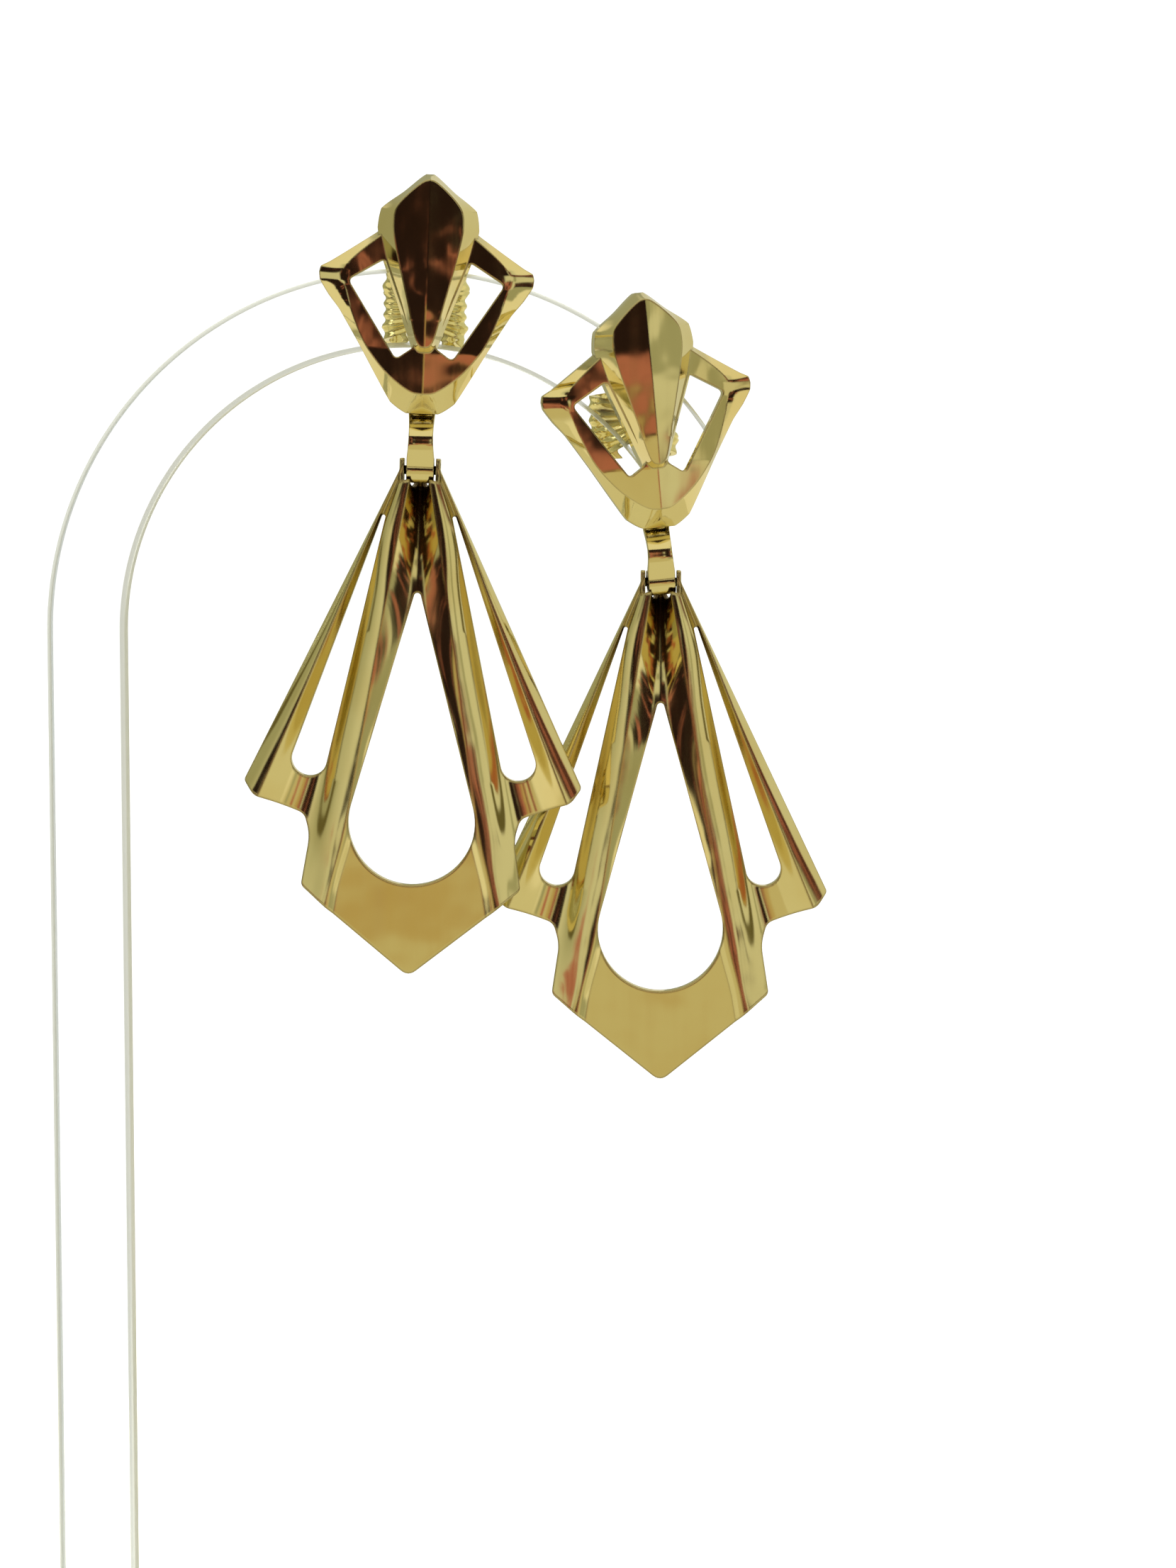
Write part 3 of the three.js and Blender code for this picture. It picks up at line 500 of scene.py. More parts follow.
cut_edge = acrylic_edge()
print("acrylic ready:", acrylic.name, cut_edge.name)

# %% [markdown]
# ## Stand
# The bar is cut from clear sheet as one crook with two post holes, and its edges are flame-polished round.
# A curve gives the long bend without facets. The base is a plain plate with a slot for the leg.

# %% Stand bar and base
BAR_WIDTH = 6.35
BAR_EASE = 0.36
BEND_END_ANGLE = 55
FOOT_RECESS = 0.6
POST_HOLE_RADIUS = 1
BASE_SIZE = (78, 52, 6)
BASE_CORNER = 5
BASE_EASE = 0.4
FIT_GAP = 0.3


def bar_loop(steps=96, cap_steps=32):
    outer, inner = BEND_RADIUS + BAR_WIDTH / 2, BEND_RADIUS - BAR_WIDTH / 2
    end = math.radians(90 - BEND_END_ANGLE)
    cap = Vector((BEND_RADIUS * math.cos(end), BEND_HEIGHT + BEND_RADIUS * math.sin(end)))
    points = [Vector((-outer, FOOT_RECESS)), Vector((-inner, FOOT_RECESS))]
    for k in range(steps + 1):
        a = math.pi + (end - math.pi) * k / steps
        points.append(Vector((inner * math.cos(a), BEND_HEIGHT + inner * math.sin(a))))
    for k in range(1, cap_steps):
        a = end + math.pi + math.pi * k / cap_steps
        points.append(cap + BAR_WIDTH / 2 * Vector((math.cos(a), math.sin(a))))
    for k in range(steps + 1):
        a = end + (math.pi - end) * k / steps
        points.append(Vector((outer * math.cos(a), BEND_HEIGHT + outer * math.sin(a))))
    return points


holes = []
for place in PLACES.values():
    centre = hole_centre(place)
    holes.append(ring_loop(centre.x, centre.z, POST_HOLE_RADIUS))
bar_mesh = plate_mesh([bar_loop()] + holes, BAR_THICKNESS, BAR_EASE)

length, depth, thickness = BASE_SIZE
corners = [(sx * length / 2, sy * depth / 2) for sx, sy in ((1, -1), (1, 1), (-1, 1), (-1, -1))]
slot_x, slot_y = BAR_WIDTH / 2 + FIT_GAP, BAR_THICKNESS / 2 + FIT_GAP
slot_corners = [(-BEND_RADIUS + sx * slot_x, sy * slot_y) for sx, sy in ((1, -1), (1, 1), (-1, 1), (-1, -1))]
base_loops = [rounded_loop(corners, BASE_CORNER, 10), rounded_loop(slot_corners, 0.3, 3)]
base_mesh = plate_mesh(base_loops, thickness, BASE_EASE, upright=False)
still = Matrix.Identity(4)
bar = place_piece("bar_clear", bar_mesh, still, acrylic, "root", "stand_bar", 32)
lift = Matrix.Translation((0, 0, thickness / 2))
base = place_piece("base_clear", base_mesh, lift, acrylic, "root", "stand_base", 32)
for piece, sheet_way in ((bar, Vector((0, 1, 0))), (base, Vector((0, 0, 1)))):
    piece.data.materials.append(cut_edge)
    for polygon in piece.data.polygons:
        polygon.material_index = int(abs(polygon.normal.dot(sheet_way)) < 0.97)

# %% [markdown]
# ## Ear pieces
# The kite is a bezel: a low wall, a bright bevelled band, and two inner plates that meet in a shallow ridge.
# A ridged leaf stands on it. Both are lofted: rows of a table pair a point of the outline with a point of the
# inner crease, and the surface is stretched between the two lines. That keeps each facet one smooth sheet.

# %% Kite and leaf tables
KITE_HALF_WIDTH = 8.57
KITE_RIM = 0.8
KITE_RIDGE = 2.9
KITE_SLOPE = 0.2
KITE_FALL = 0.07
KITE_FALL_FROM = 0.74
KITE_WALL = 0.8
LEAF_HALF_WIDTH = 4.04
LEAF_LENGTH = 14.4
LEAF_RIM = 1.7
LEAF_RIDGE = 4.3
LEAF_SLOPE = 0.22
LEAF_BOW = 0.4
LEAF_PEAK = 0.32
LEAF_WALL = 1.2

# Outline x and down, crease x and down, all as shares of the half width and the length.
KITE_ROWS = [
    (0.00, 0.090, 0.00, 0.130),
    (0.50, 0.254, 0.46, 0.270),
    (0.90, 0.375, 0.74, 0.385),
    (0.985, 0.396, 0.772, 0.410),
    (1.00, 0.422, 0.78, 0.430),
    (0.992, 0.452, 0.774, 0.452),
    (0.91, 0.512, 0.74, 0.500),
    (0.80, 0.575, 0.68, 0.590),
    (0.61, 0.716, 0.565, 0.710),
    (0.44, 0.850, 0.40, 0.810),
    (0.30, 0.955, 0.25, 0.872),
    (0.15, 1.000, 0.11, 0.912),
    (0.00, 1.000, 0.00, 0.920),
]
LEAF_ROWS = [
    (0.00, 0.000, 0.00, 0.040),
    (0.08, 0.000, 0.08, 0.045),
    (0.50, 0.098, 0.44, 0.125),
    (0.94, 0.195, 0.66, 0.210),
    (1.00, 0.300, 0.69, 0.290),
    (0.87, 0.480, 0.61, 0.430),
    (0.54, 0.730, 0.40, 0.670),
    (0.22, 0.975, 0.15, 0.930),
    (0.12, 1.000, 0.08, 0.950),
    (0.00, 1.000, 0.00, 0.955),
]


def smooth_between(stops, values, at):
    """A smooth curve through a table that never overshoots it."""
    stops, values, at = (np.asarray(v, float) for v in (stops, values, at))
    gaps = np.diff(stops)
    slopes = np.diff(values) / gaps
    tangents = np.concatenate([[slopes[0]], (slopes[1:] + slopes[:-1]) / 2, [slopes[-1]]])
    turns = np.concatenate([[False], slopes[1:] * slopes[:-1] <= 0, [False]])
    tangents[turns] = 0
    limit = 3 * np.minimum(np.abs(np.append(slopes, slopes[-1])), np.abs(np.insert(slopes, 0, slopes[0])))
    tangents = np.clip(tangents, -limit, limit)
    k = np.clip(np.searchsorted(stops, at) - 1, 0, len(gaps) - 1)
    t = (at - stops[k]) / gaps[k]
    h = gaps[k]
    return ((2 * t ** 3 - 3 * t ** 2 + 1) * values[k] + (t ** 3 - 2 * t ** 2 + t) * h * tangents[k]
            + (3 * t ** 2 - 2 * t ** 3) * values[k + 1] + (t ** 3 - t ** 2) * h * tangents[k + 1])


def lines_of(rows, half_width, length, steps, outline_ease=0.35):
    """Outline and crease of the right half, from the top to the foot, as x and z."""
    table = np.array(rows)
    at = np.linspace(0, len(rows) - 1, steps * (len(rows) - 1) + 1)
    stops = np.arange(len(rows))
    columns = []
    for column in range(4):
        smooth = smooth_between(stops, table[:, column], at)
        straight = np.interp(at, stops, table[:, column])
        columns.append(straight + (smooth - straight) * (outline_ease if column < 2 else 1))
    outline = np.stack([columns[0] * half_width, POST_BELOW_APEX - columns[1] * length], 1)
    crease = np.stack([columns[2] * half_width, POST_BELOW_APEX - columns[3] * length], 1)
    return outline, crease


kite_lines = lines_of(KITE_ROWS, KITE_HALF_WIDTH, KITE_LENGTH, 8)
leaf_lines = lines_of(LEAF_ROWS, LEAF_HALF_WIDTH, LEAF_LENGTH, 10, 0.45)
print("kite outline:", len(kite_lines[0]), "points a side, leaf outline:", len(leaf_lines[0]))

# %% [markdown]
# A shell runs from the flat back over the rim to the crease and the middle line. The kite and the leaf are
# hollow behind, as light castings are, so each hollow is a smaller shell that is cut out of the big one.

# %% Lofted shells
KITE_MIDDLE = np.array([0.0, 1.9])


def inset_line(line, inset):
    way = line - KITE_MIDDLE
    length = np.linalg.norm(way, axis=1, keepdims=True)
    return KITE_MIDDLE + way * np.maximum(length - inset, 0.1) / length


def plate_fall(z):
    down = (POST_BELOW_APEX - z) / KITE_LENGTH
    return KITE_FALL * KITE_LENGTH * np.maximum(down - KITE_FALL_FROM, 0)


def levels_of(rim, edge, back, rim_height, edge_height, ridge_height):
    """Loops from the back of the wall to the middle line, as x, y and z."""
    return [
        np.stack([rim[:, 0], 0 * rim[:, 0] + back, rim[:, 1]], 1),
        np.stack([rim[:, 0], 0 * rim[:, 0] - rim_height, rim[:, 1]], 1),
        np.stack([edge[:, 0], -edge_height, edge[:, 1]], 1),
        np.stack([0 * edge[:, 0], -ridge_height, edge[:, 1]], 1),
    ]


def kite_levels(outline, crease, inset, back):
    rim, edge = inset_line(outline, inset), inset_line(crease, inset)
    rim[:, 0] = np.maximum(rim[:, 0], 0)
    edge[:, 0] = np.maximum(edge[:, 0], 0)
    ridge = KITE_RIDGE - plate_fall(crease[:, 1]) - inset
    return levels_of(rim, edge, back, KITE_RIM - inset, ridge - KITE_SLOPE * crease[:, 0], ridge)


def leaf_ridge(z):
    down = (POST_BELOW_APEX - z) / LEAF_LENGTH
    return LEAF_RIDGE - LEAF_BOW * ((down - LEAF_PEAK) / (1 - LEAF_PEAK)) ** 2


def leaf_levels(outline, crease, lower=0, back=0):
    ridge = leaf_ridge(crease[:, 1]) - lower
    return levels_of(outline, crease, back, LEAF_RIM - lower, ridge - LEAF_SLOPE * crease[:, 0], ridge)


def hollow_line(line, narrower=0.72, shorter=0.68, about=0.4):
    """The same line, smaller, for the hollow behind the leaf."""
    centre = POST_BELOW_APEX - about * LEAF_LENGTH
    return np.stack([line[:, 0] * narrower, centre + (line[:, 1] - centre) * shorter], 1)


def filled_rows(levels, spans):
    rows = [levels[0]]
    for lower, upper, steps in zip(levels, levels[1:], spans):
        rows += [lower + (upper - lower) * k / steps for k in range(1, steps + 1)]
    return rows


def shell_mesh(name, levels, spans=(2, 4, 8)):
    """A closed skin: both halves of the lofted front, and a flat back."""
    rows = filled_rows(levels, spans)
    points, faces = [], []
    count = len(rows[0])
    for side in (1, -1):
        start = len(points)
        for row in rows:
            points += [(side * x, y, z) for x, y, z in row]
        for r in range(len(rows) - 1):
            for k in range(count - 1):
                a = start + r * count + k
                faces.append((a, a + 1, a + count + 1, a + count))
    back = [tuple(p) for p in levels[0]] + [(-x, y, z) for x, y, z in levels[0][::-1]]
    start = len(points)
    points += back
    faces.append(tuple(range(start, start + len(back))))
    return new_mesh(name, points, faces)


bezel = shell_mesh("bezel", kite_levels(*kite_lines, 0, 0))
bezel_hollow = shell_mesh("bezel_hollow", kite_levels(*kite_lines, KITE_WALL, KITE_WALL), (1, 2, 2))
leaf = shell_mesh("leaf", leaf_levels(*leaf_lines))
hollow_lines = [hollow_line(line) for line in leaf_lines]
leaf_hollow = shell_mesh("leaf_hollow", leaf_levels(*hollow_lines, lower=LEAF_WALL, back=KITE_WALL), (1, 2, 2))
print("bezel", len(bezel.polygons), "faces, leaf", len(leaf.polygons), "faces")

# %% [markdown]
# The two windows are pierced through the inner plates, with small round corners as a drilled and filed
# window has. The leaf and the bezel are soldered, so the leaf is added and its hollow is taken out of both.

# %% One ear piece
KITE_WINDOW = [(0.39, 0.36), (0.725, 0.45), (0.262, 0.775), (0.09, 0.72)]
WINDOW_CORNER = 0.44
WINDOW_CUT = 20
PIN_RADIUS = 0.36
LINK_WIDTH = 2.2
LUG_THICKNESS = 0.5
LUG_GAP = 0.25
POST_RADIUS = 0.42
POST_LENGTH = 11.8
POST_GROOVE = 1.6
PAD_WIDTH = 2.5
PAD_RECESS = 0.2


def kite_mesh():
    shape = carved(bezel, bezel_hollow)
    for side in (1, -1):
        corners = [(side * x * KITE_HALF_WIDTH, POST_BELOW_APEX - down * KITE_LENGTH)
                   for x, down in KITE_WINDOW]
        shape = carved(shape, plate_mesh([rounded_loop(corners, WINDOW_CORNER)], WINDOW_CUT))
    shape = carved(shape, leaf, "UNION")
    shape = carved(shape, leaf_hollow)
    reach = 4 * EYE_RADIUS
    front, top = -EYE_TUCK - FIT_GAP, PIN_Z + EYE_RADIUS + FIT_GAP
    notch = block_mesh((LINK_WIDTH + 2 * LUG_GAP, reach, reach), (0, front + reach / 2, top - reach / 2))
    return carved(shape, notch)


def lugs_mesh():
    inner = LINK_WIDTH / 2 + LUG_GAP
    reach = EYE_RADIUS + FIT_GAP + KITE_WALL / 2
    parts = [rod_mesh(PIN_RADIUS, 2 * (inner + LUG_THICKNESS) + 0.12, "X", (0, PIN_Y, PIN_Z), 32, 0.06)]
    for side in (1, -1):
        x = side * (inner + LUG_THICKNESS / 2)
        parts.append(rod_mesh(2 * PIN_RADIUS, LUG_THICKNESS, "X", (x, PIN_Y, PIN_Z), 32, 0.08))
        size = (LUG_THICKNESS, reach, 4 * PIN_RADIUS)
        parts.append(block_mesh(size, (x, PIN_Y - reach / 2, PIN_Z), 0.08))
    return joined(*parts)


def tube_faces(rings, sides):
    """Faces around a row of rings, with a lid on each end."""
    faces = []
    for r in range(rings - 1):
        for k in range(sides):
            n = (k + 1) % sides
            faces.append((r * sides + k, r * sides + n, (r + 1) * sides + n, (r + 1) * sides + k))
    return faces + [tuple(range(sides)), tuple((rings - 1) * sides + k for k in range(sides))]


def post_mesh(sides=32):
    from_tip = [(POST_GROOVE, 1), (POST_GROOVE - 0.12, 0.84), (POST_GROOVE - 0.38, 0.84),
                (POST_GROOVE - 0.5, 1), (0.3, 1), (0.12, 0.86), (0.03, 0.6), (0, 0.2)]
    stations = [(-1, 1)] + [(POST_LENGTH - back, share) for back, share in from_tip]
    points = []
    for y, share in stations:
        for k in range(sides):
            a = 2 * math.pi * k / sides
            points.append((POST_RADIUS * share * math.cos(a), y, POST_RADIUS * share * math.sin(a)))
    return new_mesh("post", points, tube_faces(len(stations), sides))


PIN_Z = POST_BELOW_APEX - KITE_LENGTH + TOP_PIN_ABOVE_TIP
PIN_Y = EYE_RADIUS - EYE_TUCK
pad_depth = leaf_ridge(0) - KITE_WALL / 2
pad = block_mesh((PAD_WIDTH, pad_depth - PAD_RECESS, PAD_WIDTH), (0, -(pad_depth + PAD_RECESS) / 2, 0), 0.1)
kite_parts = joined(kite_mesh(), lugs_mesh(), post_mesh(), pad)
for side, parts in hung.items():
    place_piece(f"kite_{side}_gold", kite_parts, parts["kite"], gold_kite, "root", f"kite_top_{side}",
                14)

# %% [markdown]
# ## Links
# A strip bent forward between two rolled eyes. Its side view is drawn as a thin S and swept across the
# width, with a slight waist. Two round eyes with bores take the pins.

# %% Link
LINK_WAIST = 1.96
LINK_STRIP = 0.6
LINK_BULGE = 1.4
PIN_GAP = 0.3
# forward and down, as shares of the bulge and of the spacing of the eyes
LINK_BOW = [(0.1, 0.15), (0.2, 0.26), (0.6, 0.37), (0.98, 0.5), (1.03, 0.6), (0.98, 0.7), (0.68, 0.86),
            (0.55, 0.94)]


def catmull(points, steps):
    padded = [2 * points[0] - points[1]] + points + [2 * points[-1] - points[-2]]
    out = []
    for i in range(len(points) - 1):
        p0, p1, p2, p3 = padded[i:i + 4]
        for k in range(steps + (i == len(points) - 2)):
            t = k / steps
            out.append(0.5 * (2 * p1 + (p2 - p0) * t + (2 * p0 - 5 * p1 + 4 * p2 - p3) * t * t
                              + (3 * p1 - p0 - 3 * p2 + p3) * t ** 3))
    return out


def waist_at(z):
    share = min(max((-z - EYE_RADIUS) / (EYE_SPACING - 2 * EYE_RADIUS), 0), 1)
    return LINK_WIDTH / 2 - (LINK_WIDTH - LINK_WAIST) / 2 * 4 * share * (1 - share)


def link_mesh():
    middle = catmull([Vector((-f * LINK_BULGE, -d * EYE_SPACING)) for f, d in LINK_BOW], 6)
    points = []
    for i, at in enumerate(middle):
        way = (middle[min(i + 1, len(middle) - 1)] - middle[max(i - 1, 0)]).normalized()
        across = Vector((way.y, -way.x)) * LINK_STRIP / 2
        front, rear, half = at + across, at - across, waist_at(at.y)
        points += [(-half, *front), (half, *front), (half, *rear), (-half, *rear)]
    shape = eased(new_mesh("strip", points, tube_faces(len(middle), 4)), 0.07, 40)
    for z in (0, -EYE_SPACING):
        shape = carved(shape, rod_mesh(EYE_RADIUS, LINK_WIDTH, "X", (0, 0, z), 56, 0.07), "UNION")
    for z in (0, -EYE_SPACING):
        shape = carved(shape, rod_mesh(PIN_RADIUS + PIN_GAP, 3 * LINK_WIDTH, "X", (0, 0, z), 40))
    return shape


link_shape = link_mesh()
for side, parts in hung.items():
    place_piece(f"link_{side}_gold", link_shape, parts["link"], gold_link, f"hanger_{side}", f"link_{side}",
                24)

# %% [markdown]
# ## Pleated drops
# The drop is one pressed sheet. Its pleats run down from the hinge like a fan: a deep middle channel, a rib
# on each side of it, a rounded groove with a long window, and an outer rib. Sections at a few heights say
# where each line lies across and how far forward it stands. Between them the sheet is smooth, apart from the
# crests and the crease, which are crisp. A real sheet is bent in a press, and bending a flat grid here would
# stretch it unevenly, so the grid is built in its bent place at once.

# %% Sections of the drop
DROP_LENGTH = 41.1
WING_HALF_WIDTH = 13.7
WING_DROP = 25.4
WING_STEP = 28.1
BODY_HALF_WIDTH = 8.94
BODY_DROP = 33.9
APEX_HALF_WIDTH = 1.64
SHEET_THICKNESS = 1
PLEAT_DEPTH = 1.8
DROP_SETBACK = 0.62

PLEAT_LINES = ["middle", "foot", "crest", "crease", "inner", "floor", "outer", "rib", "edge"]
# down, then places across as shares of the fan's half width, then depths as shares of the pleat's depth
SECTIONS = [
    (-0.04, (0, 0.1, 0.39, 0.7, 0.85, 0.88, 0.91, 0.95, 1),
     (-0.42, -0.42, 0.92, 0.92, 0.9, 0.9, 0.9, 0.9, 0.8)),
    (0.09, (0, 0.06, 0.39, 0.67, 0.84, 0.865, 0.89, 0.94, 1),
     (-0.1, 0, 1, 0.85, 0.62, 0.6, 0.64, 0.85, 0.6)),
    (0.25, (0, 0.1, 0.375, 0.54, 0.65, 0.73, 0.8, 0.9, 1),
     (0.36, 0.44, 1, 0.74, 0.35, 0.26, 0.4, 0.9, 0.45)),
    (0.575, (0, 0.3, 0.352, 0.473, 0.541, 0.65, 0.763, 0.876, 1),
     (0.62, 0.8, 1, 0.66, 0.22, 0.05, 0.3, 0.95, 0.42)),
    (0.7, (0, 0.3, 0.35, 0.45, 0.53, 0.64, 0.76, 0.875, 1),
     (0.72, 0.8, 0.98, 0.68, 0.25, 0.05, 0.3, 0.95, 0.42)),
    (0.84, (0, 0.33, 0.37, 0.43, 0.53, 0.64, 0.76, 0.875, 1),
     (0.74, 0.76, 0.92, 0.68, 0.3, 0.1, 0.3, 0.95, 0.42)),
    (1.04, (0, 0.33, 0.37, 0.43, 0.53, 0.64, 0.76, 0.875, 1),
     (0.72, 0.74, 0.86, 0.64, 0.3, 0.1, 0.3, 0.95, 0.42)),
]
SHEET_ROWS = 150
SPANS = {"foot": 3, "crest": 6, "crease": 3, "inner": 4, "floor": 5, "outer": 5, "rib": 6, "edge": 4}
CRISP = ["middle", "foot", "crest", "crease", "rib", "edge"]
BOWS = {"crest": 0.03, "crease": 0.035, "edge": 0.08}


def fan_half_width(down):
    return APEX_HALF_WIDTH + (WING_HALF_WIDTH - APEX_HALF_WIDTH) / WING_DROP * down * DROP_LENGTH


def sheet_section(down):
    """x and depth across the right half of the sheet at one height."""
    stops = [row[0] for row in SECTIONS]
    across, depth = ([smooth_between(stops, [row[column][k] for row in SECTIONS], [down])[0]
                      for k in range(len(PLEAT_LINES))] for column in (1, 2))
    xs, ys = [across[0]], [depth[0]]
    start = 0
    for end in (PLEAT_LINES.index(name) for name in CRISP[1:]):
        run_x, run_d = across[start:end + 1], depth[start:end + 1]
        for k in range(start + 1, end + 1):
            steps = SPANS[PLEAT_LINES[k]]
            at = np.linspace(across[k - 1], across[k], steps + 1)[1:]
            share = np.linspace(0, 1, steps + 1)[1:]
            bow = BOWS.get(PLEAT_LINES[k], 0) * 4 * share * (1 - share)
            bent = smooth_between(run_x, run_d, at) if len(run_x) > 2 else np.interp(at, run_x, run_d) + bow
            xs += list(at)
            ys += list(bent)
        start = end
    width = fan_half_width(down)
    xs = np.array(xs + [1 + 0.6 / width]) * width
    return xs, np.array(ys + [ys[-1]]) * PLEAT_DEPTH


def two_skins(rows, columns):
    """Faces of a grid of points, of its copy behind it and of the edges between them."""
    layer = rows * columns
    faces = []
    for r in range(rows - 1):
        for c in range(columns - 1):
            a = r * columns + c
            faces.append((a, a + columns, a + columns + 1, a + 1))
            faces.append((layer + a, layer + a + 1, layer + a + columns + 1, layer + a + columns))
        for c in (0, columns - 1):
            a = r * columns + c
            faces.append((a, layer + a, layer + a + columns, a + columns))
    for r in (0, rows - 1):
        for c in range(columns - 1):
            a = r * columns + c
            faces.append((a, a + 1, layer + a + 1, layer + a))
    return faces


def sheet_mesh():
    downs = np.linspace(SECTIONS[0][0], SECTIONS[-1][0], SHEET_ROWS + 1)
    rows = []
    for down in downs:
        xs, depths = sheet_section(down)
        row_x = np.concatenate([-xs[:0:-1], xs])
        row_y = DROP_SETBACK - np.concatenate([depths[:0:-1], depths])
        rows.append(np.stack([row_x, row_y, np.full(len(row_x), -down * DROP_LENGTH)], 1))
    grid = np.array(rows)
    points = list(grid.reshape(-1, 3)) + list((grid + np.array([0, SHEET_THICKNESS, 0])).reshape(-1, 3))
    return new_mesh("sheet", points, two_skins(*grid.shape[:2]))


sheet = sheet_mesh()
print("sheet:", len(sheet.polygons), "faces")

# %% [markdown]
# One stencil holds the outline, the three windows and the room for the link's eye. The sheet is cut once with
# it, because a second cut through so many small faces would leave stray bits. The pin and its ears are solid.

# %% Outline, windows and hinge of the drop
TEARDROP_RADIUS = 5.13
TEARDROP_TOP = 9.9
TEARDROP_POINT = 0.3
TEARDROP_SHARE = 0.634
TEARDROP_RISE = 1.2
TEARDROP_FOOT = TEARDROP_TOP + TEARDROP_SHARE * (DROP_LENGTH - TEARDROP_TOP) - TEARDROP_RISE
SIDE_WINDOW_RADIUS = 1.44
SIDE_WINDOW_POINT = 0.16
SIDE_WINDOW_TOP = (0.2085, 0.15)
SIDE_WINDOW_FOOT = (0.619, 0.929)
EAR_HEIGHT = 0.95
EAR_DEPTH = 1.9
EAR_GAP = 0.18
HEEL_HEIGHT = 0.4


def drop_loops():
    right = [
        (APEX_HALF_WIDTH, EAR_HEIGHT, 0.3),
        (APEX_HALF_WIDTH, 0, 0.2),
        (WING_HALF_WIDTH, -WING_DROP, 0.25),
        (WING_HALF_WIDTH * 0.94, -WING_DROP * 1.045, 0.4),
        (BODY_HALF_WIDTH * 0.985, -WING_STEP, 0.5),
        (BODY_HALF_WIDTH * 0.93, -WING_STEP * 1.06, 0.9),
        (BODY_HALF_WIDTH, -BODY_DROP, 0.35),
        (0, -DROP_LENGTH, 0.8),
    ]
    left = [(-x, z, ease) for x, z, ease in reversed(right[:-1])]
    loops = [rounded_loop(right + left, 0.3)]
    loops.append(tapered_loop((0, -TEARDROP_TOP - TEARDROP_POINT, TEARDROP_POINT),
                              (0, -TEARDROP_FOOT, TEARDROP_RADIUS), 40))
    for side in (1, -1):
        ends = [(side * across * WING_HALF_WIDTH, -down * WING_DROP, radius) for (across, down), radius in
                ((SIDE_WINDOW_TOP, SIDE_WINDOW_POINT), (SIDE_WINDOW_FOOT, SIDE_WINDOW_RADIUS))]
        loops.append(tapered_loop(*ends, 24))
    return loops


def drop_mesh():
    slot_half = LINK_WIDTH / 2 + EAR_GAP
    room = EYE_RADIUS + FIT_GAP
    above = block_mesh((2 * slot_half, 4 * room, 4 * EAR_HEIGHT), (0, 0, HEEL_HEIGHT + 2 * EAR_HEIGHT))
    ahead = block_mesh((2 * slot_half, 4 * room, room + EAR_HEIGHT), (0, -2 * room, EAR_HEIGHT / 2))
    hinge_room = carved(rod_mesh(room, 2 * slot_half, "X", (0, 0, 0), 48), above, "UNION")
    hinge_room = carved(hinge_room, ahead, "UNION")
    stencil = carved(plate_mesh(drop_loops(), 8 * PLEAT_DEPTH), hinge_room)
    shape = carved(sheet, stencil, "INTERSECT")
    ear_width = APEX_HALF_WIDTH - slot_half
    parts = [shape, rod_mesh(PIN_RADIUS, 2 * slot_half + ear_width, "X")]
    for side in (1, -1):
        size = (ear_width, EAR_DEPTH, 2 * EAR_HEIGHT)
        parts.append(block_mesh(size, (side * (slot_half + ear_width / 2), 0, 0), 0.1))
    return joined(*parts)


drop_shape = drop_mesh()
for side, parts in hung.items():
    place_piece(f"drop_{side}_gold", drop_shape, parts["drop"], gold_drop, f"fan_{side}", f"drop_{side}",
                16)

# %% [markdown]
# ## Ear nuts
# A butterfly nut is a ridged strip curled back into two scrolls. The strip is a grid: one way runs round
# the curl, the other along it with a ripple for the ridges, and it is given its thickness afterwards.

# %% Ear nut
NUT_HALF_WIDTH = 3.8
NUT_HEIGHT = 5.9
NUT_STRIP = 0.45
NUT_RIDGES = 5
NUT_RIDGE = 0.1
NUT_WAIST = 0.16
NUT_FLAT = 0.22
SCROLL_RADIUS = 1.3
SCROLL_TURN = 1.62
SCROLL_TIGHTER = 0.35


def nut_row(share, v):
    """Place and outward way on the strip, from its middle (0) to the end of a scroll (1), v down it."""
    centre_x = (NUT_HALF_WIDTH - SCROLL_RADIUS) * (1 - NUT_WAIST * (2 * v - 1) ** 2 * min(share / 0.2, 1))
    if share < NUT_FLAT:
        x, y, way_x, way_y = centre_x * share / NUT_FLAT, 0.0, 0.0, -1.0
        spread = 0.5 + 0.3 * share / NUT_FLAT
    else:
        curl = (share - NUT_FLAT) / (1 - NUT_FLAT)
        a = -math.pi / 2 + curl * SCROLL_TURN * math.pi
        radius = SCROLL_RADIUS - SCROLL_TIGHTER * curl
        x, y = centre_x + radius * math.cos(a), SCROLL_RADIUS + radius * math.sin(a)
        way_x, way_y = math.cos(a), math.sin(a)
        spread = 0.8 + 0.2 * math.sin(min(curl * 2.2, 1) * math.pi / 2)
    z = NUT_HEIGHT * (0.47 - 0.95 * v) * spread
    return x, y, way_x, way_y, z


def nut_mesh(across=56, along=60):
    outer, inner = [], []
    for i in range(-across, across + 1):
        share, side = abs(i) / across, math.copysign(1, i)
        for j in range(along + 1):
            v = j / along
            x, y, way_x, way_y, z = nut_row(share, v)
            ridge = NUT_RIDGE * (math.cos(2 * math.pi * NUT_RIDGES * v) * min(share / 0.06, 1) - 1)
            outer.append((side * (x + way_x * ridge), y + way_y * ridge, z))
            inner.append((side * (x + way_x * (ridge - NUT_STRIP)), y + way_y * (ridge - NUT_STRIP), z))
    bore = rod_mesh(POST_RADIUS + FIT_GAP, 8 * SCROLL_RADIUS, "Y", sides=32)
    return carved(new_mesh("nut", outer + inner, two_skins(2 * across + 1, along + 1)), bore)


nut_shape = nut_mesh()
for side, parts in hung.items():
    place_piece(f"nut_{side}_gold", nut_shape, parts["nut"], gold_nut, "root", f"ear_nut_{side}",
                35)

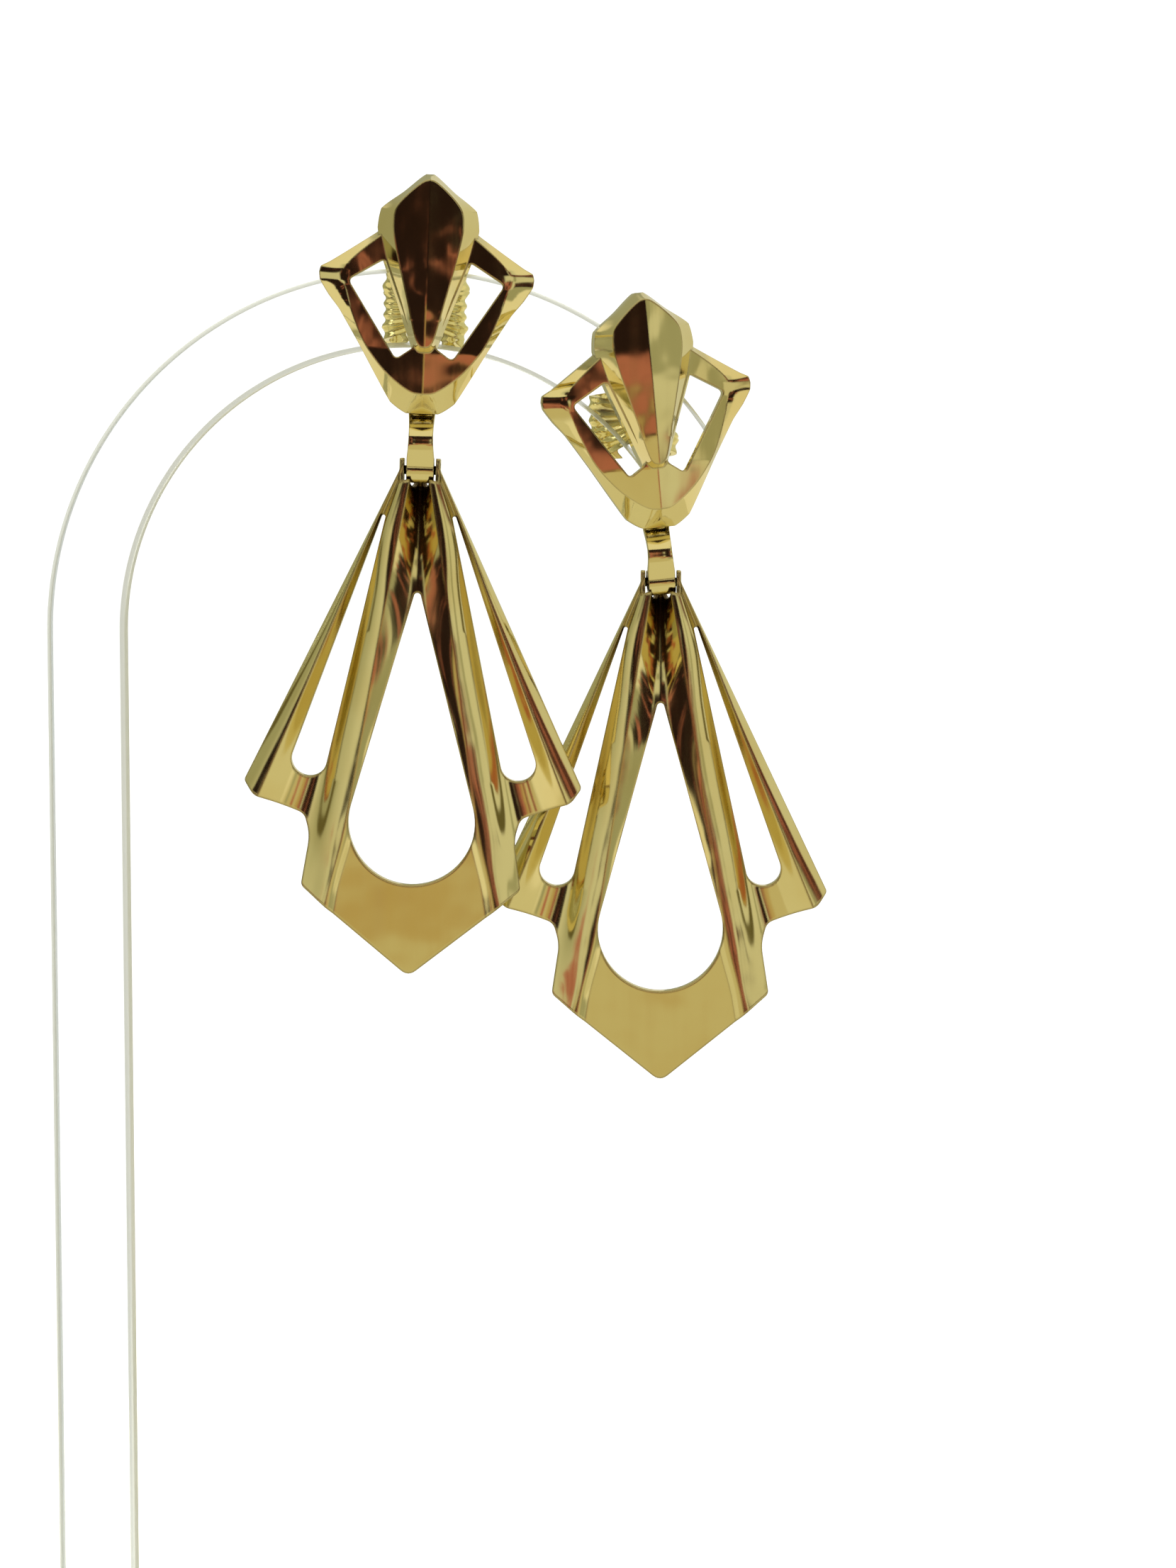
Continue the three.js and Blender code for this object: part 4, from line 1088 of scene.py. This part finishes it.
# %% [markdown]
# ## Floor and studio
# The stand is on white paper. The camera sees plain white, but the metal mirrors the paper's warmer, darker
# glow. A light path tells the two apart, and a small sheet leaves the room to be mirrored past its edge.

# %% Pale floor
def straight_view(tree):
    """1 for what the camera sees directly or through the clear stand, 0 for what the metal mirrors."""
    path = add_node(tree, "ShaderNodeLightPath").outputs
    not_mirrored = maths(tree, "LESS_THAN", path["Glossy Depth"], 0.5)
    through = maths(tree, "MULTIPLY", path["Is Transmission Ray"], not_mirrored)
    return maths(tree, "MAXIMUM", path["Is Camera Ray"], through)


FLOOR_SIZE = 0.32
FLOOR_GLOW = (0.70, 0.65, 0.44, 1)
b = bmesh.new()
bmesh.ops.create_grid(b, x_segments=1, y_segments=1, size=FLOOR_SIZE / 2)
floor = linked("floor", finished(b, "floor"))
paper = bpy.data.materials.new("white_paper")
paper.use_nodes = True
tree = paper.node_tree
shader = tree.nodes["Principled BSDF"]
shader.inputs["Base Color"].default_value = (0.8, 0.8, 0.8, 1)
shader.inputs["Roughness"].default_value = 0.9
shader.inputs["Specular IOR Level"].default_value = 0.0
shader.inputs["Emission Color"].default_value = (1, 1, 1, 1)
shader.inputs["Emission Strength"].default_value = 0.7
glow = add_node(tree, "ShaderNodeEmission", {"Color": FLOOR_GLOW, "Strength": 1.0})
either = add_node(tree, "ShaderNodeMixShader",
                  {0: straight_view(tree), 1: glow.outputs[0], 2: shader.outputs[0]})
tree.links.new(either.outputs[0], tree.nodes["Material Output"].inputs["Surface"])
floor.data.materials.append(paper)
print("floor", FLOOR_SIZE, "m wide")

# %% [markdown]
# Polished metal shows its surroundings, so most of its look is the room. Real walls would be hard to place, so
# the room is painted in the world, by direction: each card is a soft-edged patch between two bearings and two
# heights, and a later card lies over the earlier ones. Some dark cards have copper swirls. A slow noise bends
# all the edges a little.

# %% Studio surroundings
WHITE = (1.15, 1.15, 1.15, 1)
DARK = (0.020, 0.010, 0.009, 1)
COPPER = (0.46, 0.16, 0.12, 1)
BROWN = (0.53, 0.40, 0.18, 1)
TABLE = (0.61, 0.54, 0.32, 1)
KHAKI = (0.38, 0.38, 0.25, 1)
OLIVE = (0.13, 0.11, 0.04, 1)
PALE = (0.68, 0.66, 0.50, 1)
BRIGHT = (0.86, 0.80, 0.60, 1)

# name, azimuth from and to, elevation from and to, softness across and up, colour, share of copper swirls
CARDS = [
    ("bright right", 34, 200, -60, -10, 6, 2, BRIGHT, 0),
    ("bright left", -200, -40, -60, -13, 8, 2, BRIGHT, 0),
    ("table", -40, 36, -60, -7, 6, 1.5, TABLE, 0),
    ("table edge", -40, 30, -8, -4, 5, 0.8, BROWN, 0),
    ("ceiling", -200, 200, 32, 95, 6, 4, BRIGHT, 0),
    ("ceiling in front", -38, 31, 17, 95, 2, 1, BRIGHT, 0),
    ("room above", -38, 31, -1, 17, 1.5, 0.5, DARK, 0.05),
    ("front", -12, 17, -4.6, 0, 1, 0.4, DARK, 0),
    ("front by the jamb", -12, -5.5, -7.6, -4, 1, 0.3, DARK, 0),
    ("copper in front", -11, 16, -4.7, -2.0, 0.6, 0.9, DARK, 0.72),
    ("copper by the jamb", -11, -6, -6.8, -4.4, 0.6, 0.3, DARK, 0.8),
    ("left jamb", -31, -15, -6.6, 8, 1, 0.4, DARK, 0.17),
    ("right jamb", 20, 31, -6.8, 6, 1, 0.4, DARK, 0.1),
    ("left jamb foot", -31, -11, -9, -6.2, 1, 0.3, DARK, 0.9),
    ("right jamb foot", 18, 31, -9.2, -6.8, 1, 0.3, DARK, 0.9),
    ("right wall", 30, 40, -12.5, 0.5, 1.5, 0.6, DARK, 0.6),
    ("left wall", -36, -22, -13, -8.5, 1.5, 0.6, DARK, 0.5),
    ("left shelf", -80, -36, -14.5, -3.5, 1.5, 0.6, DARK, 0.1),
    ("left shelf top", -80, -46, -3.6, -0.6, 2, 0.4, DARK, 1),
    ("right shelf", 45, 80, -9.5, -1.8, 1.5, 0.6, DARK, 0.3),
    ("right chest", 27, 64, -18, -9.4, 3, 1, KHAKI, 0),
    ("left doorway", -54, -37, 8, 26, 2, 1.5, DARK, 0.15),
    ("left curtain", -100, -91, 11, 26, 2, 1.5, OLIVE, 0),
    ("right doorway", 40, 73, 9, 26, 2, 1.5, DARK, 0.4),
    ("right curtain", 41, 47, 0, 9, 0.6, 0.6, KHAKI, 0),
    ("right post", 64, 75, 0.5, 8, 1.5, 1, OLIVE, 0),
    ("left post", -75, -66, 0.5, 8, 1.5, 1, OLIVE, 0),
    ("chair", 11, 22, -13, -9, 2, 1, COPPER, 0),
]

world = bpy.data.worlds.new("studio")
bpy.context.scene.world = world
world.use_nodes = True
tree = world.node_tree
tree.nodes.clear()
way = add_node(tree, "ShaderNodeTexCoord").outputs["Generated"]
parts_of_way = add_node(tree, "ShaderNodeSeparateXYZ", {0: way})
x, y, z = (parts_of_way.outputs[k] for k in range(3))
upright = add_node(tree, "ShaderNodeMapping", {"Vector": way, "Scale": (1.0, 1.0, 0.4)}).outputs[0]
swirl = add_node(tree, "ShaderNodeTexNoise",
                 {"Vector": upright, "Scale": 17.0, "Detail": 2.0, "Distortion": 1.2})
wave = add_node(tree, "ShaderNodeTexNoise", {"Vector": way, "Scale": 5.0, "Detail": 1.0}).outputs["Fac"]
sway = maths(tree, "SUBTRACT", wave, 0.5)
around = maths(tree, "DEGREES", maths(tree, "ARCTAN2", x, maths(tree, "MULTIPLY", y, -1.0)))
azimuth = maths(tree, "ADD", around, maths(tree, "MULTIPLY", sway, 5.0))
curl = maths(tree, "MULTIPLY", maths(tree, "SUBTRACT", swirl.outputs["Fac"], 0.5), 4.0)
sway_up = maths(tree, "ADD", maths(tree, "MULTIPLY", sway, 2.0), curl)
elevation = maths(tree, "ADD", maths(tree, "DEGREES", maths(tree, "ARCSINE", z)), sway_up)
room = mixed(tree, soft_step(tree, azimuth, -75, -35), KHAKI, PALE)
for name, left, right, foot, top, soft_across, soft_up, colour, copper_share in CARDS:
    spans = ((azimuth, left, right, soft_across), (elevation, foot, top, soft_up))
    mask = None
    for value, start, end, soft in spans:
        inside = maths(tree, "MULTIPLY", soft_step(tree, value, start - soft, start + soft),
                       soft_step(tree, value, end + soft, end - soft))
        mask = inside if mask is None else maths(tree, "MULTIPLY", mask, inside)
    if copper_share:
        level = 0.68 - 0.34 * copper_share
        swirls = soft_step(tree, swirl.outputs["Fac"], level - 0.03, level + 0.03)
        colour = mixed(tree, swirls, colour, COPPER)
    room = mixed(tree, mask, room, colour)
seen = mixed(tree, straight_view(tree), room, WHITE)
background = add_node(tree, "ShaderNodeBackground", {"Color": seen, "Strength": 1.0})
output = add_node(tree, "ShaderNodeOutputWorld")
tree.links.new(background.outputs[0], output.inputs["Surface"])
bpy.context.scene.view_settings.view_transform = "Standard"
print("studio with", len(CARDS), "cards and", len(tree.nodes), "nodes")

# %% [markdown]
# Two wide lamps lift the acrylic and the paper. The metal doesn't mirror them, because a real soft box would
# show as a hard white square in such a gloss.

# %% Soft lamps
LAMPS = [
    ("lamp_top", (0.1, 0.15, 0.55), 0.4, 1.2),
    ("lamp_left", (-0.55, -0.1, 0.3), 0.35, 1.0),
]
for name, where, size, power in LAMPS:
    data = bpy.data.lights.new(name, "AREA")
    data.size = size
    data.energy = power
    data.color = (1, 0.99, 0.96)
    lamp = bpy.data.objects.new(name, data)
    bpy.context.scene.collection.objects.link(lamp)
    lamp.visible_glossy = False
    lamp.location = where
    lamp.rotation_euler = (CAMERA_TARGET - Vector(where)).to_track_quat("-Z", "Y").to_euler()
    print(name, "at", where)
